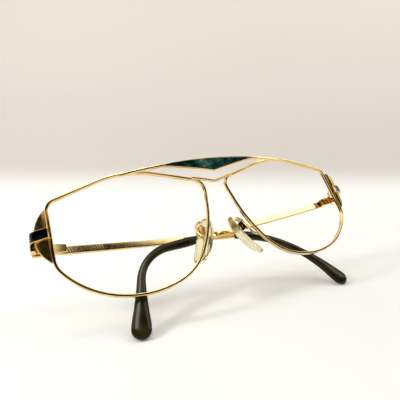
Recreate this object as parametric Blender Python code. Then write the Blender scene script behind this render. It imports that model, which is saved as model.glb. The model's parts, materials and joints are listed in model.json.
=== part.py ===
"""Folded metal spectacle frame with a brow bar, dished end plates and hooked plastic tips.

Units are metres and +Z is up. The glasses rest on their two tips with the front leaning back
and the temples folded. Every piece is drawn in the frame of the front: X runs across the face,
Y goes back towards the wearer and Z goes up the lenses. An empty then leans the whole front.
"right" and "left" in the names are the wearer's own sides.
"""

import math

import bmesh
import bpy
from mathutils import Matrix, Vector

MM = 0.001

# Clearances
SEAT_GAP = 0.05 * MM               # between pieces that are soldered or pressed together
RUN_GAP = 0.05 * MM                # round a screw or a pin

# Front, as the wearer faces it
RIM_HALF_SPAN = 68.2 * MM          # centre of the face to the outer side of a rim
RIM_THICK = 0.95 * MM              # across the wire, in the plane of the lens
RIM_DEPTH = 1.6 * MM               # front to back
GROOVE_DEPTH = 0.4 * MM
GROOVE_WIDTH = 0.9 * MM
FACE_WRAP = 5.2 * MM               # how far the outer side of a rim lies behind the middle
LENS_BOWL = 0.4 * MM               # how far the top and bottom of a rim lie behind its middle
RIM_HALF_HEIGHT = 25.0 * MM
SPLIT_HEIGHT = 5.0 * MM            # where the rim opens to take a lens
SPLIT_GAP = 0.1 * MM

# Corners of one rim, walked from the split up over the top: across, up, corner radius
RIM_CORNERS = (
    (RIM_HALF_SPAN, 19.0 * MM, 4.0 * MM),
    (37.0 * MM, 28.5 * MM, 40.0 * MM),
    (4.3 * MM, 18.0 * MM, 5.5 * MM),
    (8.7 * MM, -3.0 * MM, 55.0 * MM),
    (19.5 * MM, -19.5 * MM, 23.0 * MM),
    (37.5 * MM, -24.0 * MM, 37.0 * MM),
    (59.0 * MM, -19.0 * MM, 34.0 * MM),
    (RIM_HALF_SPAN, -6.0 * MM, 9.0 * MM),
)
ARC_STEP = math.radians(11)
RUN_STEP = 6.0 * MM

# Brow bar and its enamel triangle
BROW_HALF_SPAN = 40.0 * MM
BROW_FRONT = -4.7 * MM             # front face at the middle
BROW_SWEEP = 4.6 * MM              # how far the ends lie behind the middle
BROW_THICK = 1.2 * MM
BROW_TOP_MIDDLE = 26.9 * MM
BROW_TOP_END = 25.7 * MM
BROW_BAR_HEIGHT = 1.0 * MM
BROW_POINT = 20.5 * MM             # lower tip of the triangle
BROW_POINT_HALF_SPAN = 21.8 * MM
BROW_BORDER = 0.6 * MM
ENAMEL_DEPTH = 0.5 * MM

# Lower bridge bar
BRIDGE_WIRE = 0.55 * MM            # radius
BRIDGE_HALF_SPAN = 10.2 * MM
BRIDGE_DIP = 16.8 * MM             # height of its low point
BRIDGE_FRONT = -1.4 * MM           # how far forward its low point stands

# Dished plate on the outer side of each rim
WING_TOP = 16.0 * MM
WING_BOTTOM = -4.1 * MM
WING_BULGE = 4.7 * MM
WING_REACH = 0.45 * MM             # how far its inner edge stands in front of the rim
WING_DISH = 2.0 * MM               # how far its outer edge is swept back
WING_THICK = 1.0 * MM
WING_INNER = RIM_HALF_SPAN + RIM_THICK / 2 + SEAT_GAP
WING_FRONT = FACE_WRAP - RIM_DEPTH / 2 - WING_REACH

# Strap that wraps from the plate round to the hinge
STRAP_HEIGHT = 4.0 * MM
STRAP_MIDDLE = 6.5 * MM
STRAP_THICK = 1.0 * MM
STRAP_START = (WING_INNER + 0.2 * MM, WING_FRONT - 1.5 * MM)
STRAP_CORNER = (WING_INNER + 6.2 * MM, WING_FRONT + 1.2 * MM)
STRAP_END = (WING_INNER + 6.7 * MM, WING_FRONT + 9.6 * MM)
STRAP_RADIUS = 3.4 * MM
BAND_HEIGHT = 3.4 * MM
BAND_THICK = 0.4 * MM
BAND_INSET = 0.35 * MM

# Hinge, on the left side
HINGE_CENTRE = (STRAP_END[0] - 3.05 * MM, STRAP_END[1] - 2.65 * MM, 5.1 * MM)
HINGE_LEAN_IN = math.radians(5.6)
HINGE_LEAN_BACK = math.radians(5.0)
KNUCKLE_RADIUS = 1.35 * MM
KNUCKLE_HEIGHT = 1.7 * MM
KNUCKLE_GAP = 0.08 * MM
HINGE_SCREW_RADIUS = 0.6 * MM
HINGE_HEAD_RADIUS = 1.0 * MM
HINGE_HEAD_HEIGHT = 0.4 * MM
LEAF_LENGTH = 9.5 * MM
LEAF_TOP = 0.6 * MM                # above the middle of the hinge
LEAF_BOTTOM = 3.3 * MM             # below it
LEAF_THICK = 1.1 * MM
FOOT_FRONT = STRAP_END[1] - 5.5 * MM   # where the hinge's foot starts behind the strap
HEEL_BACK = 2.2 * MM               # how far the temple's heel runs past the pin
HEEL_TOP = 3.5 * MM                # below the middle of the hinge
HEEL_HEIGHT = 0.8 * MM

# Temple, measured along it from the hinge
TEMPLE_DROP = math.radians(4.4)    # how far an open temple points below the front's normal
TEMPLE_FOLD = {"right": math.radians(85.9), "left": math.radians(88.4)}
TEMPLE_OFFSET = 1.6 * MM           # middle of the bar, outside the hinge's axis
TEMPLE_THICK = 1.3 * MM
TEMPLE_START_GAP = 0.15 * MM
CRANK_DROP = 1.7 * MM
CRANK_LENGTH = 9.0 * MM
TEMPLE_BENDS = {                   # each tip has been heated and bent to fit its own ear:
    # start of the bend, its radius, its angle, straight end, curve in towards the head
    "right": (79.1 * MM, 50.9 * MM, math.radians(58.9), 8.9 * MM, 7.8 * MM),
    "left": (97.5 * MM, 17.3 * MM, math.radians(69.2), 21.8 * MM, 7.8 * MM),
}
BAR_HEIGHTS = ((0.0, 3.4 * MM), (0.25, 3.2 * MM), (0.5, 2.9 * MM), (0.75, 2.6 * MM), (1.0, 2.6 * MM))
SLEEVE_START = 81.0 * MM
CORE_END = 93.0 * MM
CORE_HEIGHT = 1.9 * MM
CORE_THICK = 1.0 * MM
TIP_SIZES = (                      # share of the tip's length, height, thickness
    (0.0, 3.1 * MM, 2.1 * MM),
    (0.04, 3.5 * MM, 2.6 * MM),
    (0.3, 3.4 * MM, 2.7 * MM),
    (0.5, 3.1 * MM, 2.8 * MM),
    (0.64, 3.5 * MM, 2.8 * MM),
    (0.8, 5.2 * MM, 2.9 * MM),
    (0.92, 7.0 * MM, 2.9 * MM),
    (0.97, 6.3 * MM, 2.4 * MM),
    (1.0, 3.4 * MM, 1.4 * MM),
)

# Closing block that holds the rim's two ends together
BLOCK_WIDTH = 2.5 * MM
BLOCK_DEPTH = 2.6 * MM
BLOCK_HEIGHT = 2.9 * MM
BLOCK_SCREW_RADIUS = 0.5 * MM
BLOCK_HEAD_RADIUS = 0.9 * MM
BLOCK_HEAD_HEIGHT = 0.4 * MM

# Nose pads, on the left side
PAD_CENTRE = (10.0 * MM, 5.2 * MM, -7.3 * MM)
PAD_SHIFT = {                      # each arm is bent its own way, to fit the nose
    "right": (1.1 * MM, 0.0, 0.1 * MM),
    "left": (-2.0 * MM, 0.0, -0.8 * MM),
}
PAD_LENGTH = 20.6 * MM
PAD_WIDTH = 9.2 * MM
PAD_THICK = 3.0 * MM
PAD_CURVE = 1.3 * MM
PAD_LEAN_OUT = math.radians(27)
PAD_LEAN_FORWARD = math.radians(3)
PAD_SPLAY = math.radians(29)
PAD_PIVOT_RISE = 3.6 * MM          # pivot above the pad's middle, along the pad
BOX_LENGTH = 3.8 * MM
BOX_WIDTH = 3.2 * MM
BOX_HEIGHT = 1.6 * MM
BOX_WALL = 0.4 * MM
LUG_RADIUS = 0.7 * MM
PAD_PIN_RADIUS = 0.4 * MM
ARM_WIRE = 0.5 * MM                # radius
ARM_ROUTE = (                      # from the back of the rim, up and over, towards the box
    (12.9 * MM, 1.65 * MM, -9.5 * MM),
    (11.9 * MM, 1.65 * MM, -7.8 * MM),
    (12.2 * MM, 2.0 * MM, -5.7 * MM),
    (12.5 * MM, 3.2 * MM, -3.0 * MM),
    (11.8 * MM, 4.2 * MM, -0.7 * MM),
    (10.3 * MM, 4.9 * MM, 1.1 * MM),
    (9.3 * MM, 5.0 * MM, 1.3 * MM),
    (8.8 * MM, 4.8 * MM, 0.5 * MM),
)

RECLINE = math.radians(37.2)       # how far the front leans back as it rests


def clear_scene():
    for obj in list(bpy.data.objects):
        bpy.data.objects.remove(obj, do_unlink=True)
    for group in list(bpy.data.collections):
        bpy.data.collections.remove(group)


clear_scene()
PARTS = bpy.data.collections.new("spectacle_frame")
CUTTERS = bpy.data.collections.new("cutters")
bpy.context.scene.collection.children.link(PARTS)
bpy.context.scene.collection.children.link(CUTTERS)


def make_material(name, colour, roughness, metallic):
    """A Principled material with the piece's own colour."""
    material = bpy.data.materials.new(name)
    material.use_nodes = True
    shader = material.node_tree.nodes["Principled BSDF"]
    shader.inputs["Base Color"].default_value = (*colour, 1.0)
    shader.inputs["Roughness"].default_value = roughness
    shader.inputs["Metallic"].default_value = metallic
    material.diffuse_color = (*colour, 1.0)
    return material


POLISHED_GOLD = make_material("polished_gold", (0.80, 0.58, 0.25), 0.18, 1.0)
BRUSHED_GOLD = make_material("brushed_gold", (0.62, 0.44, 0.16), 0.38, 1.0)
TEAL_ENAMEL = make_material("teal_enamel", (0.01, 0.09, 0.08), 0.12, 0.0)
DARK_ENAMEL = make_material("dark_enamel", (0.004, 0.012, 0.010), 0.10, 0.0)
OLIVE_ACETATE = make_material("olive_acetate", (0.02, 0.02, 0.008), 0.16, 0.0)
PAD_PLASTIC = make_material("pad_plastic", (0.72, 0.66, 0.36), 0.25, 0.0)
SCREW_STEEL = make_material("screw_steel", (0.72, 0.60, 0.40), 0.25, 1.0)


# Building blocks

def add_object(name, mesh, material, parent=None):
    """Put a mesh in the collection of parts, drawn in its parent's frame."""
    mesh.materials.clear()
    mesh.materials.append(material)
    mesh.shade_smooth()
    mesh.set_sharp_from_angle(angle=math.radians(35))
    obj = bpy.data.objects.new(name, mesh)
    PARTS.objects.link(obj)
    obj.parent = parent
    return obj


def mesh_from(bm, name):
    bmesh.ops.recalc_face_normals(bm, faces=bm.faces)
    mesh = bpy.data.meshes.new(name)
    bm.to_mesh(mesh)
    bm.free()
    return mesh


def loft(name, rings):
    """Join rings of points, each with as many points, into one closed skin with flat ends."""
    bm = bmesh.new()
    rows = [[bm.verts.new(point) for point in ring] for ring in rings]
    count = len(rows[0])
    for row, following in zip(rows, rows[1:]):
        for i in range(count):
            j = (i + 1) % count
            bm.faces.new((row[i], row[j], following[j], following[i]))
    bm.faces.new(rows[0])
    bm.faces.new(rows[-1])
    return mesh_from(bm, name)


def prism(name, outline, low, high):
    """A flat outline, given across and back, raised from one height to another."""
    return loft(name, [[(x, y, z) for x, y in outline] for z in (low, high)])


def block(name, low, high):
    """A box between two corners."""
    bm = bmesh.new()
    bmesh.ops.create_cube(bm, size=1.0)
    size = [b - a for a, b in zip(low, high)]
    middle = [(a + b) / 2 for a, b in zip(low, high)]
    bmesh.ops.scale(bm, vec=size, verts=bm.verts)
    bmesh.ops.translate(bm, vec=middle, verts=bm.verts)
    return mesh_from(bm, name)


def rod(name, radius, low, high, segments=20):
    """A cylinder on the Z axis."""
    bm = bmesh.new()
    bmesh.ops.create_cone(
        bm, cap_ends=True, segments=segments, radius1=radius, radius2=radius, depth=high - low
    )
    bmesh.ops.translate(bm, vec=(0, 0, (low + high) / 2), verts=bm.verts)
    return mesh_from(bm, name)


def moved(mesh, matrix):
    mesh.transform(matrix)
    return mesh


def combine(mesh, other, operation):
    """Apply one exact Boolean between two meshes and return the result."""
    target = bpy.data.objects.new("target", mesh)
    tool = bpy.data.objects.new("tool", other)
    tool.hide_render = True
    tool.display_type = "WIRE"
    CUTTERS.objects.link(target)
    CUTTERS.objects.link(tool)
    modifier = target.modifiers.new("cut", "BOOLEAN")
    modifier.operation = operation
    modifier.solver = "EXACT"
    modifier.object = tool
    result = bpy.data.meshes.new_from_object(
        target.evaluated_get(bpy.context.evaluated_depsgraph_get())
    )
    bpy.data.objects.remove(target, do_unlink=True)
    bpy.data.objects.remove(tool, do_unlink=True)
    return result


def cut(mesh, other):
    return combine(mesh, other, "DIFFERENCE")


def fuse(mesh, other):
    return combine(mesh, other, "UNION")


def mirrored(mesh, name):
    """The same solid on the other side of the face."""
    bm = bmesh.new()
    bm.from_mesh(mesh)
    bmesh.ops.scale(bm, vec=(-1, 1, 1), verts=bm.verts)
    bmesh.ops.reverse_faces(bm, faces=bm.faces)
    result = bpy.data.meshes.new(name)
    bm.to_mesh(result)
    bm.free()
    return result


def curve_mesh(name, points, radius=0.0, section=None, resolution=3):
    """A wire along the points, round or with its own section, turned into a closed mesh."""
    data = bpy.data.curves.new(name, "CURVE")
    data.dimensions = "3D"
    data.twist_mode = "Z_UP"
    data.use_fill_caps = True
    if section is None:
        data.bevel_depth = radius
        data.bevel_resolution = resolution
    else:
        data.bevel_mode = "OBJECT"
        data.bevel_object = section
    spline = data.splines.new("POLY")
    spline.points.add(len(points) - 1)
    for target, point in zip(spline.points, points):
        target.co = (*point, 1.0)
    holder = bpy.data.objects.new(name, data)
    CUTTERS.objects.link(holder)
    mesh = bpy.data.meshes.new_from_object(
        holder.evaluated_get(bpy.context.evaluated_depsgraph_get())
    )
    bpy.data.objects.remove(holder, do_unlink=True)
    bm = bmesh.new()
    bm.from_mesh(mesh)
    bmesh.ops.remove_doubles(bm, verts=bm.verts, dist=0.001 * MM)
    return mesh_from(bm, name)


def section_object(name, points):
    """A closed flat outline that a curve carries along its length."""
    data = bpy.data.curves.new(name, "CURVE")
    data.dimensions = "2D"
    spline = data.splines.new("POLY")
    spline.points.add(len(points) - 1)
    for target, (x, y) in zip(spline.points, points):
        target.co = (x, y, 0, 1)
    spline.use_cyclic_u = True
    obj = bpy.data.objects.new(name, data)
    obj.hide_render = True
    CUTTERS.objects.link(obj)
    return obj


def rounded_path(start, corners, end):
    """A path from start to end whose corners are arcs; each arc is held to the runs beside it."""
    stops = [Vector(start)] + [Vector(corner[:2]) for corner in corners] + [Vector(end)]
    reach = []
    for i, corner in enumerate(corners, 1):
        into = (stops[i - 1] - stops[i]).normalized()
        away = (stops[i + 1] - stops[i]).normalized()
        half = into.angle(away) / 2
        reach.append(corner[2] / math.tan(half))
    for i in range(len(reach) - 1):
        run = (stops[i + 2] - stops[i + 1]).length * 0.98
        taken = reach[i] + reach[i + 1]
        if taken > run:
            reach[i] *= run / taken
            reach[i + 1] *= run / taken
    reach[0] = min(reach[0], (stops[1] - stops[0]).length * 0.98)
    reach[-1] = min(reach[-1], (stops[-1] - stops[-2]).length * 0.98)
    path = [Vector(start)]
    for i, length in enumerate(reach, 1):
        into = (stops[i - 1] - stops[i]).normalized()
        away = (stops[i + 1] - stops[i]).normalized()
        half = into.angle(away) / 2
        radius = length * math.tan(half)
        centre = stops[i] + (into + away).normalized() * (radius / math.sin(half))
        first = stops[i] + into * length - centre
        turn = first.angle_signed(stops[i] + away * length - centre)
        steps = max(2, math.ceil(abs(turn) / ARC_STEP))
        for k in range(steps + 1):
            path.append(centre + Matrix.Rotation(-turn * k / steps, 2) @ first)
    path.append(Vector(end))
    return path


def subdivided(path, step):
    """The same path with its long straight runs divided."""
    result = [path[0]]
    for a, b in zip(path, path[1:]):
        pieces = max(1, math.ceil((b - a).length / step))
        result += [a.lerp(b, k / pieces) for k in range(1, pieces + 1)]
    return result


def interpolate(table, share):
    """Read a table of (share, value, ...) rows with straight lines between them."""
    for low, high in zip(table, table[1:]):
        if share <= high[0]:
            t = (share - low[0]) / (high[0] - low[0])
            t = max(0.0, t)
            return [a + (b - a) * t for a, b in zip(low[1:], high[1:])]
    return list(table[-1][1:])


# Rims

def face_depth(x, z):
    """How far back the middle of the rim lies at a place on the face."""
    return FACE_WRAP * (x / RIM_HALF_SPAN) ** 2 + LENS_BOWL * (z / RIM_HALF_HEIGHT) ** 2


def rim_mesh():
    half = SPLIT_GAP / 2
    outline = rounded_path(
        (RIM_HALF_SPAN, SPLIT_HEIGHT + half), RIM_CORNERS, (RIM_HALF_SPAN, SPLIT_HEIGHT - half)
    )
    outline = subdivided(outline, RUN_STEP)
    t, d, g = RIM_THICK / 2, RIM_DEPTH / 2, GROOVE_WIDTH / 2
    edge = 0.25 * RIM_THICK
    section = section_object(
        "rim_section",
        [(-t, -d), (t - edge, -d), (t, -d + edge), (t, d - edge), (t - edge, d), (-t, d),
         (-t, g), (-t + GROOVE_DEPTH, 0), (-t, -g)],
    )
    flat = [(x, z, -face_depth(x, z)) for x, z in outline]
    mesh = curve_mesh("rim", flat, section=section)
    return moved(mesh, Matrix.Rotation(math.radians(90), 4, "X"))


# Brow bar

def brow_front(x):
    return BROW_FRONT + BROW_SWEEP * (x / BROW_HALF_SPAN) ** 2


def brow_top(x):
    return BROW_TOP_MIDDLE + (BROW_TOP_END - BROW_TOP_MIDDLE) * (x / BROW_HALF_SPAN) ** 2


def brow_bottom(x):
    """The lower edge: level with the bar outside the triangle, and down to its point within."""
    bar = brow_top(x) - BROW_BAR_HEIGHT
    share = max(0.0, 1 - abs(x) / BROW_POINT_HALF_SPAN)
    return bar - (BROW_TOP_MIDDLE - BROW_BAR_HEIGHT - BROW_POINT) * share


def brow_stations(half_span, count):
    return [half_span * (2 * k / count - 1) for k in range(count + 1)]


def brow_mesh():
    rings = []
    for x in brow_stations(BROW_HALF_SPAN, 32):
        front, top, bottom = brow_front(x), brow_top(x), brow_bottom(x)
        back = front + BROW_THICK
        bevel = 0.2 * BROW_BAR_HEIGHT
        rings.append([
            (x, back, bottom), (x, front + bevel, bottom), (x, front, bottom + bevel),
            (x, front, top - bevel), (x, front + bevel, top), (x, back, top),
        ])
    return cut(loft("brow_bar", rings), enamel_mesh(SEAT_GAP, out=0.3 * MM))


def enamel_mesh(grow=0.0, out=0.0):
    """The triangle of enamel, or its pocket when grown all round and let out at the front."""
    slope = (BROW_TOP_MIDDLE - BROW_BAR_HEIGHT - BROW_POINT) / BROW_POINT_HALF_SPAN
    ends = BROW_POINT_HALF_SPAN - (2 * BROW_BORDER - BROW_BAR_HEIGHT + 0.3 * MM) / slope
    span = ends + grow / slope
    rings = []
    for x in brow_stations(span, 20):
        front = brow_front(x)
        top = brow_top(x) - BROW_BORDER / 2 + grow
        bottom = min(brow_bottom(x) + BROW_BORDER - grow, top - 0.1 * MM)
        rings.append([
            (x, front - out, bottom), (x, front - out, top),
            (x, front + ENAMEL_DEPTH + grow, top), (x, front + ENAMEL_DEPTH + grow, bottom),
        ])
    return loft("brow_enamel", rings)


def bridge_mesh():
    """A round bar that dips in a shallow V between the rims and is soldered to their fronts."""
    end = rim_top(BRIDGE_HALF_SPAN)
    rim = face_depth(BRIDGE_HALF_SPAN, end) - RIM_DEPTH / 2 - BRIDGE_WIRE - SEAT_GAP
    corner = (0.0, BRIDGE_DIP, 4.0 * MM)
    path = subdivided(rounded_path((-BRIDGE_HALF_SPAN, end), (corner,), (BRIDGE_HALF_SPAN, end)),
                      2.0 * MM)
    points = []
    for x, z in path:
        share = (x / BRIDGE_HALF_SPAN) ** 2
        points.append((x, BRIDGE_FRONT + (rim - BRIDGE_FRONT) * share, z))
    return curve_mesh("bridge_bar", points, radius=BRIDGE_WIRE)


def rim_top(x):
    """Height of the rim's upper wire at a distance from the middle of the face."""
    outline = rounded_path((RIM_HALF_SPAN, SPLIT_HEIGHT), RIM_CORNERS, (RIM_HALF_SPAN, 0))
    best = None
    for a, b in zip(outline, outline[1:]):
        if min(a.x, b.x) <= x <= max(a.x, b.x) and a.x != b.x:
            z = a.y + (b.y - a.y) * (x - a.x) / (b.x - a.x)
            best = z if best is None else max(best, z)
    return best


# End plates, straps and enamel bands

def wing_front(x):
    return WING_FRONT + WING_DISH * ((x - WING_INNER) / WING_BULGE) ** 2


def wing_mesh():
    """A crescent: straight along the rim, bulging outwards, dished in front."""
    half = (WING_TOP - WING_BOTTOM) / 2
    radius = (half ** 2 + WING_BULGE ** 2) / (2 * WING_BULGE)
    middle = (WING_TOP + WING_BOTTOM) / 2
    rings = []
    for k in range(17):
        z = middle + half * math.sin(math.pi * (k / 16 - 0.5)) * 0.985
        bulge = math.sqrt(radius ** 2 - (z - middle) ** 2) - (radius - WING_BULGE)
        outer = WING_INNER + bulge + 0.25 * MM
        front = []
        back = []
        for share in (0, 0.25, 0.5, 0.75, 1):
            x = WING_INNER + (outer - WING_INNER) * share
            front.append((x, wing_front(x), z))
            back.append((x, wing_front(x) + WING_THICK, z))
        rings.append(front + back[::-1])
    half = STRAP_HEIGHT / 2 + SEAT_GAP
    notch = prism("notch", strap_outline(2 * MM, -STRAP_THICK - SEAT_GAP, -0.5 * MM),
                  STRAP_MIDDLE - half, STRAP_MIDDLE + half)
    return cut(loft("wing", rings), notch)


def strap_outline(outer, inner, trim):
    """The strap seen from above, between two offsets from its outer face."""
    path = rounded_path(STRAP_START, ((*STRAP_CORNER, STRAP_RADIUS),), STRAP_END)
    length = sum((b - a).length for a, b in zip(path, path[1:]))
    kept = []
    run = 0.0
    for i, point in enumerate(path):
        before = path[max(i - 1, 0)]
        after = path[min(i + 1, len(path) - 1)]
        run += (point - before).length
        along = (after - before).normalized()
        place = point
        if i == 0 or run <= trim:
            place = point + along * trim
        elif i == len(path) - 1 or run >= length - trim:
            place = point - along * trim
        kept.append((place, Vector((along.y, -along.x))))
    outside = [place + away * outer for place, away in kept]
    inside = [place + away * inner for place, away in kept]
    return [tuple(p) for p in outside + inside[::-1]]


def strap_mesh():
    half = STRAP_HEIGHT / 2
    strap = prism("strap", strap_outline(0, -STRAP_THICK, 0), STRAP_MIDDLE - half,
                  STRAP_MIDDLE + half)
    half = BAND_HEIGHT / 2 + SEAT_GAP
    channel = prism("channel", strap_outline(0.5 * MM, -BAND_THICK - SEAT_GAP,
                                             BAND_INSET - SEAT_GAP),
                    STRAP_MIDDLE - half, STRAP_MIDDLE + half)
    return cut(strap, channel)


def band_mesh():
    half = BAND_HEIGHT / 2
    return prism("band", strap_outline(0, -BAND_THICK, BAND_INSET), STRAP_MIDDLE - half,
                 STRAP_MIDDLE + half)


# Closing blocks

def block_low_corner():
    """Inner front corner of the closing block, against the rim and behind the plate."""
    x = RIM_HALF_SPAN + RIM_THICK / 2 + SEAT_GAP
    y = wing_front(x + BLOCK_WIDTH) + WING_THICK + 2 * SEAT_GAP
    return x, y


def closing_block_mesh(direction):
    """One half of the closing block, above the split or below it, with its screw hole."""
    x, y = block_low_corner()
    near = SPLIT_HEIGHT + direction * SPLIT_GAP / 2
    far = near + direction * BLOCK_HEIGHT
    body = block("half", (x, y, min(near, far)), (x + BLOCK_WIDTH, y + BLOCK_DEPTH, max(near, far)))
    hole = rod("hole", BLOCK_SCREW_RADIUS + RUN_GAP, -BLOCK_HEIGHT, BLOCK_HEIGHT, 16)
    place = Matrix.Translation((x + BLOCK_WIDTH / 2, y + BLOCK_DEPTH / 2, (near + far) / 2))
    return cut(body, moved(hole, place))


def closing_screw_mesh():
    x, y = block_low_corner()
    low = SPLIT_HEIGHT - SPLIT_GAP / 2 - BLOCK_HEIGHT
    high = SPLIT_HEIGHT + SPLIT_GAP / 2 + BLOCK_HEIGHT
    head = low - SEAT_GAP
    screw = screw_mesh(BLOCK_SCREW_RADIUS, high, BLOCK_HEAD_RADIUS, head, BLOCK_HEAD_HEIGHT)
    return moved(screw, Matrix.Translation((x + BLOCK_WIDTH / 2, y + BLOCK_DEPTH / 2, 0)))


def screw_mesh(radius, top, head_radius, head_top, head_height):
    """A screw whose slotted head hangs below and whose shank goes up to the top."""
    shank = rod("shank", radius, head_top - head_height / 2, top, 16)
    head = rod("head", head_radius, head_top - head_height, head_top, 20)
    screw = fuse(head, shank)
    slot = 0.22 * head_radius
    low = head_top - head_height
    cutter = block("slot", (-2 * head_radius, -slot / 2, low - 0.2 * MM),
                   (2 * head_radius, slot / 2, low + 0.45 * head_height))
    return cut(screw, cutter)


# Hinge

def hinge_axis():
    """The pin's direction on the left side, leaning in and back at its top."""
    return Vector((-math.tan(HINGE_LEAN_IN), math.tan(HINGE_LEAN_BACK), 1)).normalized()


def hinge_place():
    """From the hinge's own frame, with Z on the pin and X outwards, to the front's frame."""
    axis = hinge_axis()
    outward = (Vector((1, 0, 0)) - axis * axis.x).normalized()
    back = axis.cross(outward)
    turn = Matrix((outward, back, axis)).transposed().to_4x4()
    return Matrix.Translation(HINGE_CENTRE) @ turn


def knuckle_span(index):
    """Low and high ends of one of the three knuckles along the pin."""
    pitch = KNUCKLE_HEIGHT + KNUCKLE_GAP
    return index * pitch - KNUCKLE_HEIGHT / 2, index * pitch + KNUCKLE_HEIGHT / 2


def front_leaf_mesh():
    """Two knuckles on a foot that is soldered inside the strap's rear arm."""
    place = hinge_place()
    low, high = knuckle_span(-1)[0], knuckle_span(1)[1]
    barrel = moved(rod("barrel", KNUCKLE_RADIUS, low, high, 20), place)
    x, y, z = HINGE_CENTRE
    back = y + 0.8 * KNUCKLE_RADIUS
    under = STRAP_MIDDLE - STRAP_HEIGHT / 2
    cheek = prism("cheek", foot_outline(x, y - 0.8 * KNUCKLE_RADIUS, back - 0.15 * MM, 0.1 * MM),
                  z + low + 0.2 * MM, z + high)
    foot = prism("foot", foot_outline(x + 0.4 * MM, FOOT_FRONT, back), under + 0.1 * MM,
                 z + high - 0.1 * MM)
    leaf = fuse(fuse(barrel, cheek), foot)
    beside = x + HINGE_HEAD_RADIUS + 0.45 * MM
    shoe = prism("shoe", shoe_outline(beside, FOOT_FRONT + 0.3 * MM, back + 0.5 * MM),
                 z + low + 0.1 * MM, under - SEAT_GAP)
    leaf = fuse(leaf, shoe)
    gap_low, gap_high = knuckle_span(0)
    swing = KNUCKLE_RADIUS + 3 * KNUCKLE_GAP
    slot = rod("slot", swing, gap_low - KNUCKLE_GAP, gap_high + KNUCKLE_GAP, 24)
    leaf = cut(leaf, moved(slot, place))
    bore = rod("bore", HINGE_SCREW_RADIUS + RUN_GAP, low - 3 * MM, high + 3 * MM, 16)
    return cut(leaf, moved(bore, place))


def foot_outline(x, front, back, short=0.0):
    """From a place across the face out to the strap's rear arm, seen from above."""
    outer = [strap_inner_face(y) - SEAT_GAP - short for y in (front, back)]
    return [(x, front), (outer[0], front), (outer[1], back), (x, back)]


def shoe_outline(x, front, back):
    """The same out to the strap's outer face: the foot's lower part passes under the strap."""
    outer = [strap_inner_face(y) + STRAP_THICK for y in (front, back)]
    return [(x, front), (outer[0], front), (outer[1], back), (x, back)]


def strap_inner_face(y):
    """Across position of the strap's inner face on its rear arm."""
    (x0, y0), (x1, y1) = STRAP_CORNER, STRAP_END
    outer = x0 + (x1 - x0) * (y - y0) / (y1 - y0)
    return outer - STRAP_THICK * math.hypot(x1 - x0, y1 - y0) / abs(y1 - y0)


def hinge_screw_mesh():
    low, high = knuckle_span(-1)[0], knuckle_span(1)[1]
    screw = screw_mesh(HINGE_SCREW_RADIUS, high, HINGE_HEAD_RADIUS, low - SEAT_GAP,
                       HINGE_HEAD_HEIGHT)
    return moved(screw, hinge_place())


# Temples: local X outwards from the head, Y along the open temple, Z up its height

def temple_turn(fold):
    """From the left temple's own frame to the front's frame, folded by an angle."""
    drop = Matrix.Rotation(-TEMPLE_DROP, 4, "X")
    return Matrix.Translation(HINGE_CENTRE) @ Matrix.Rotation(fold, 4, hinge_axis()) @ drop


def temple_length(side):
    start, radius, angle, hook, _ = TEMPLE_BENDS[side]
    return start + radius * angle + hook


def temple_centre(side, s):
    """Middle of the temple at a distance along it, as (along, up, heading)."""
    start, radius, angle, _, _ = TEMPLE_BENDS[side]
    if s <= CRANK_LENGTH:
        share = s / CRANK_LENGTH
        drop = CRANK_DROP * (0.5 - 0.5 * math.cos(math.pi * share))
        slope = CRANK_DROP * 0.5 * math.pi / CRANK_LENGTH * math.sin(math.pi * share)
        return s, -drop, -math.atan(slope)
    if s <= start:
        return s, -CRANK_DROP, 0.0
    turned = min((s - start) / radius, angle)
    along = start + radius * math.sin(turned)
    up = -CRANK_DROP - radius * (1 - math.cos(turned))
    rest = max(0.0, s - start - radius * angle)
    return along + rest * math.cos(turned), up - rest * math.sin(turned), -turned


def temple_out(side, s):
    """How far out from the hinge's axis the middle of the temple lies."""
    return TEMPLE_OFFSET - TEMPLE_BENDS[side][4] * (s / temple_length(side)) ** 2


def temple_ring(side, s, height, thick, sides):
    """A cross-section with rounded corners, square to the temple's centre line."""
    along, up, heading = temple_centre(side, s)
    out = temple_out(side, s)
    ring = []
    for n, w in sides:
        ring.append((
            out + n * thick / 2,
            along - w * height / 2 * math.sin(heading),
            up + w * height / 2 * math.cos(heading),
        ))
    return ring


FLAT_BAR = ((-1, -0.7), (-0.5, -1), (0.5, -1), (1, -0.7), (1, 0.7), (0.5, 1), (-0.5, 1), (-1, 0.7))
SQUARE = ((-1, -1), (1, -1), (1, 1), (-1, 1))


def oval(count, power):
    """Points round a superellipse of unit half width and height."""
    points = []
    for k in range(count):
        a = 2 * math.pi * (k + 0.5) / count
        c, s = math.cos(a), math.sin(a)
        points.append((math.copysign(abs(c) ** power, c), math.copysign(abs(s) ** power, s)))
    return points


def temple_start():
    """The bar begins just past the strap's end, where it butts against it when open."""
    return STRAP_END[1] - HINGE_CENTRE[1] + TEMPLE_START_GAP


def bar_mesh(side):
    start = temple_start()
    end = SLEEVE_START + 1.0 * MM
    rings = []
    for k in range(27):
        share = k / 26
        s = start + (end - start) * share
        height, = interpolate(BAR_HEIGHTS, share)
        rings.append(temple_ring(side, s, height, TEMPLE_THICK, FLAT_BAR))
    bar = loft("bar", rings)
    return fuse(bar, core_mesh(side, end - 1.0 * MM, CORE_END, 0.0))


def core_mesh(side, start, end, grow):
    """The narrow tail of the bar inside the tip, or its socket when grown."""
    rings = []
    for k in range(6):
        s = start + (end + grow - start) * k / 5
        rings.append(temple_ring(side, s, CORE_HEIGHT + 2 * grow, CORE_THICK + 2 * grow, SQUARE))
    return loft("core", rings)


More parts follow.
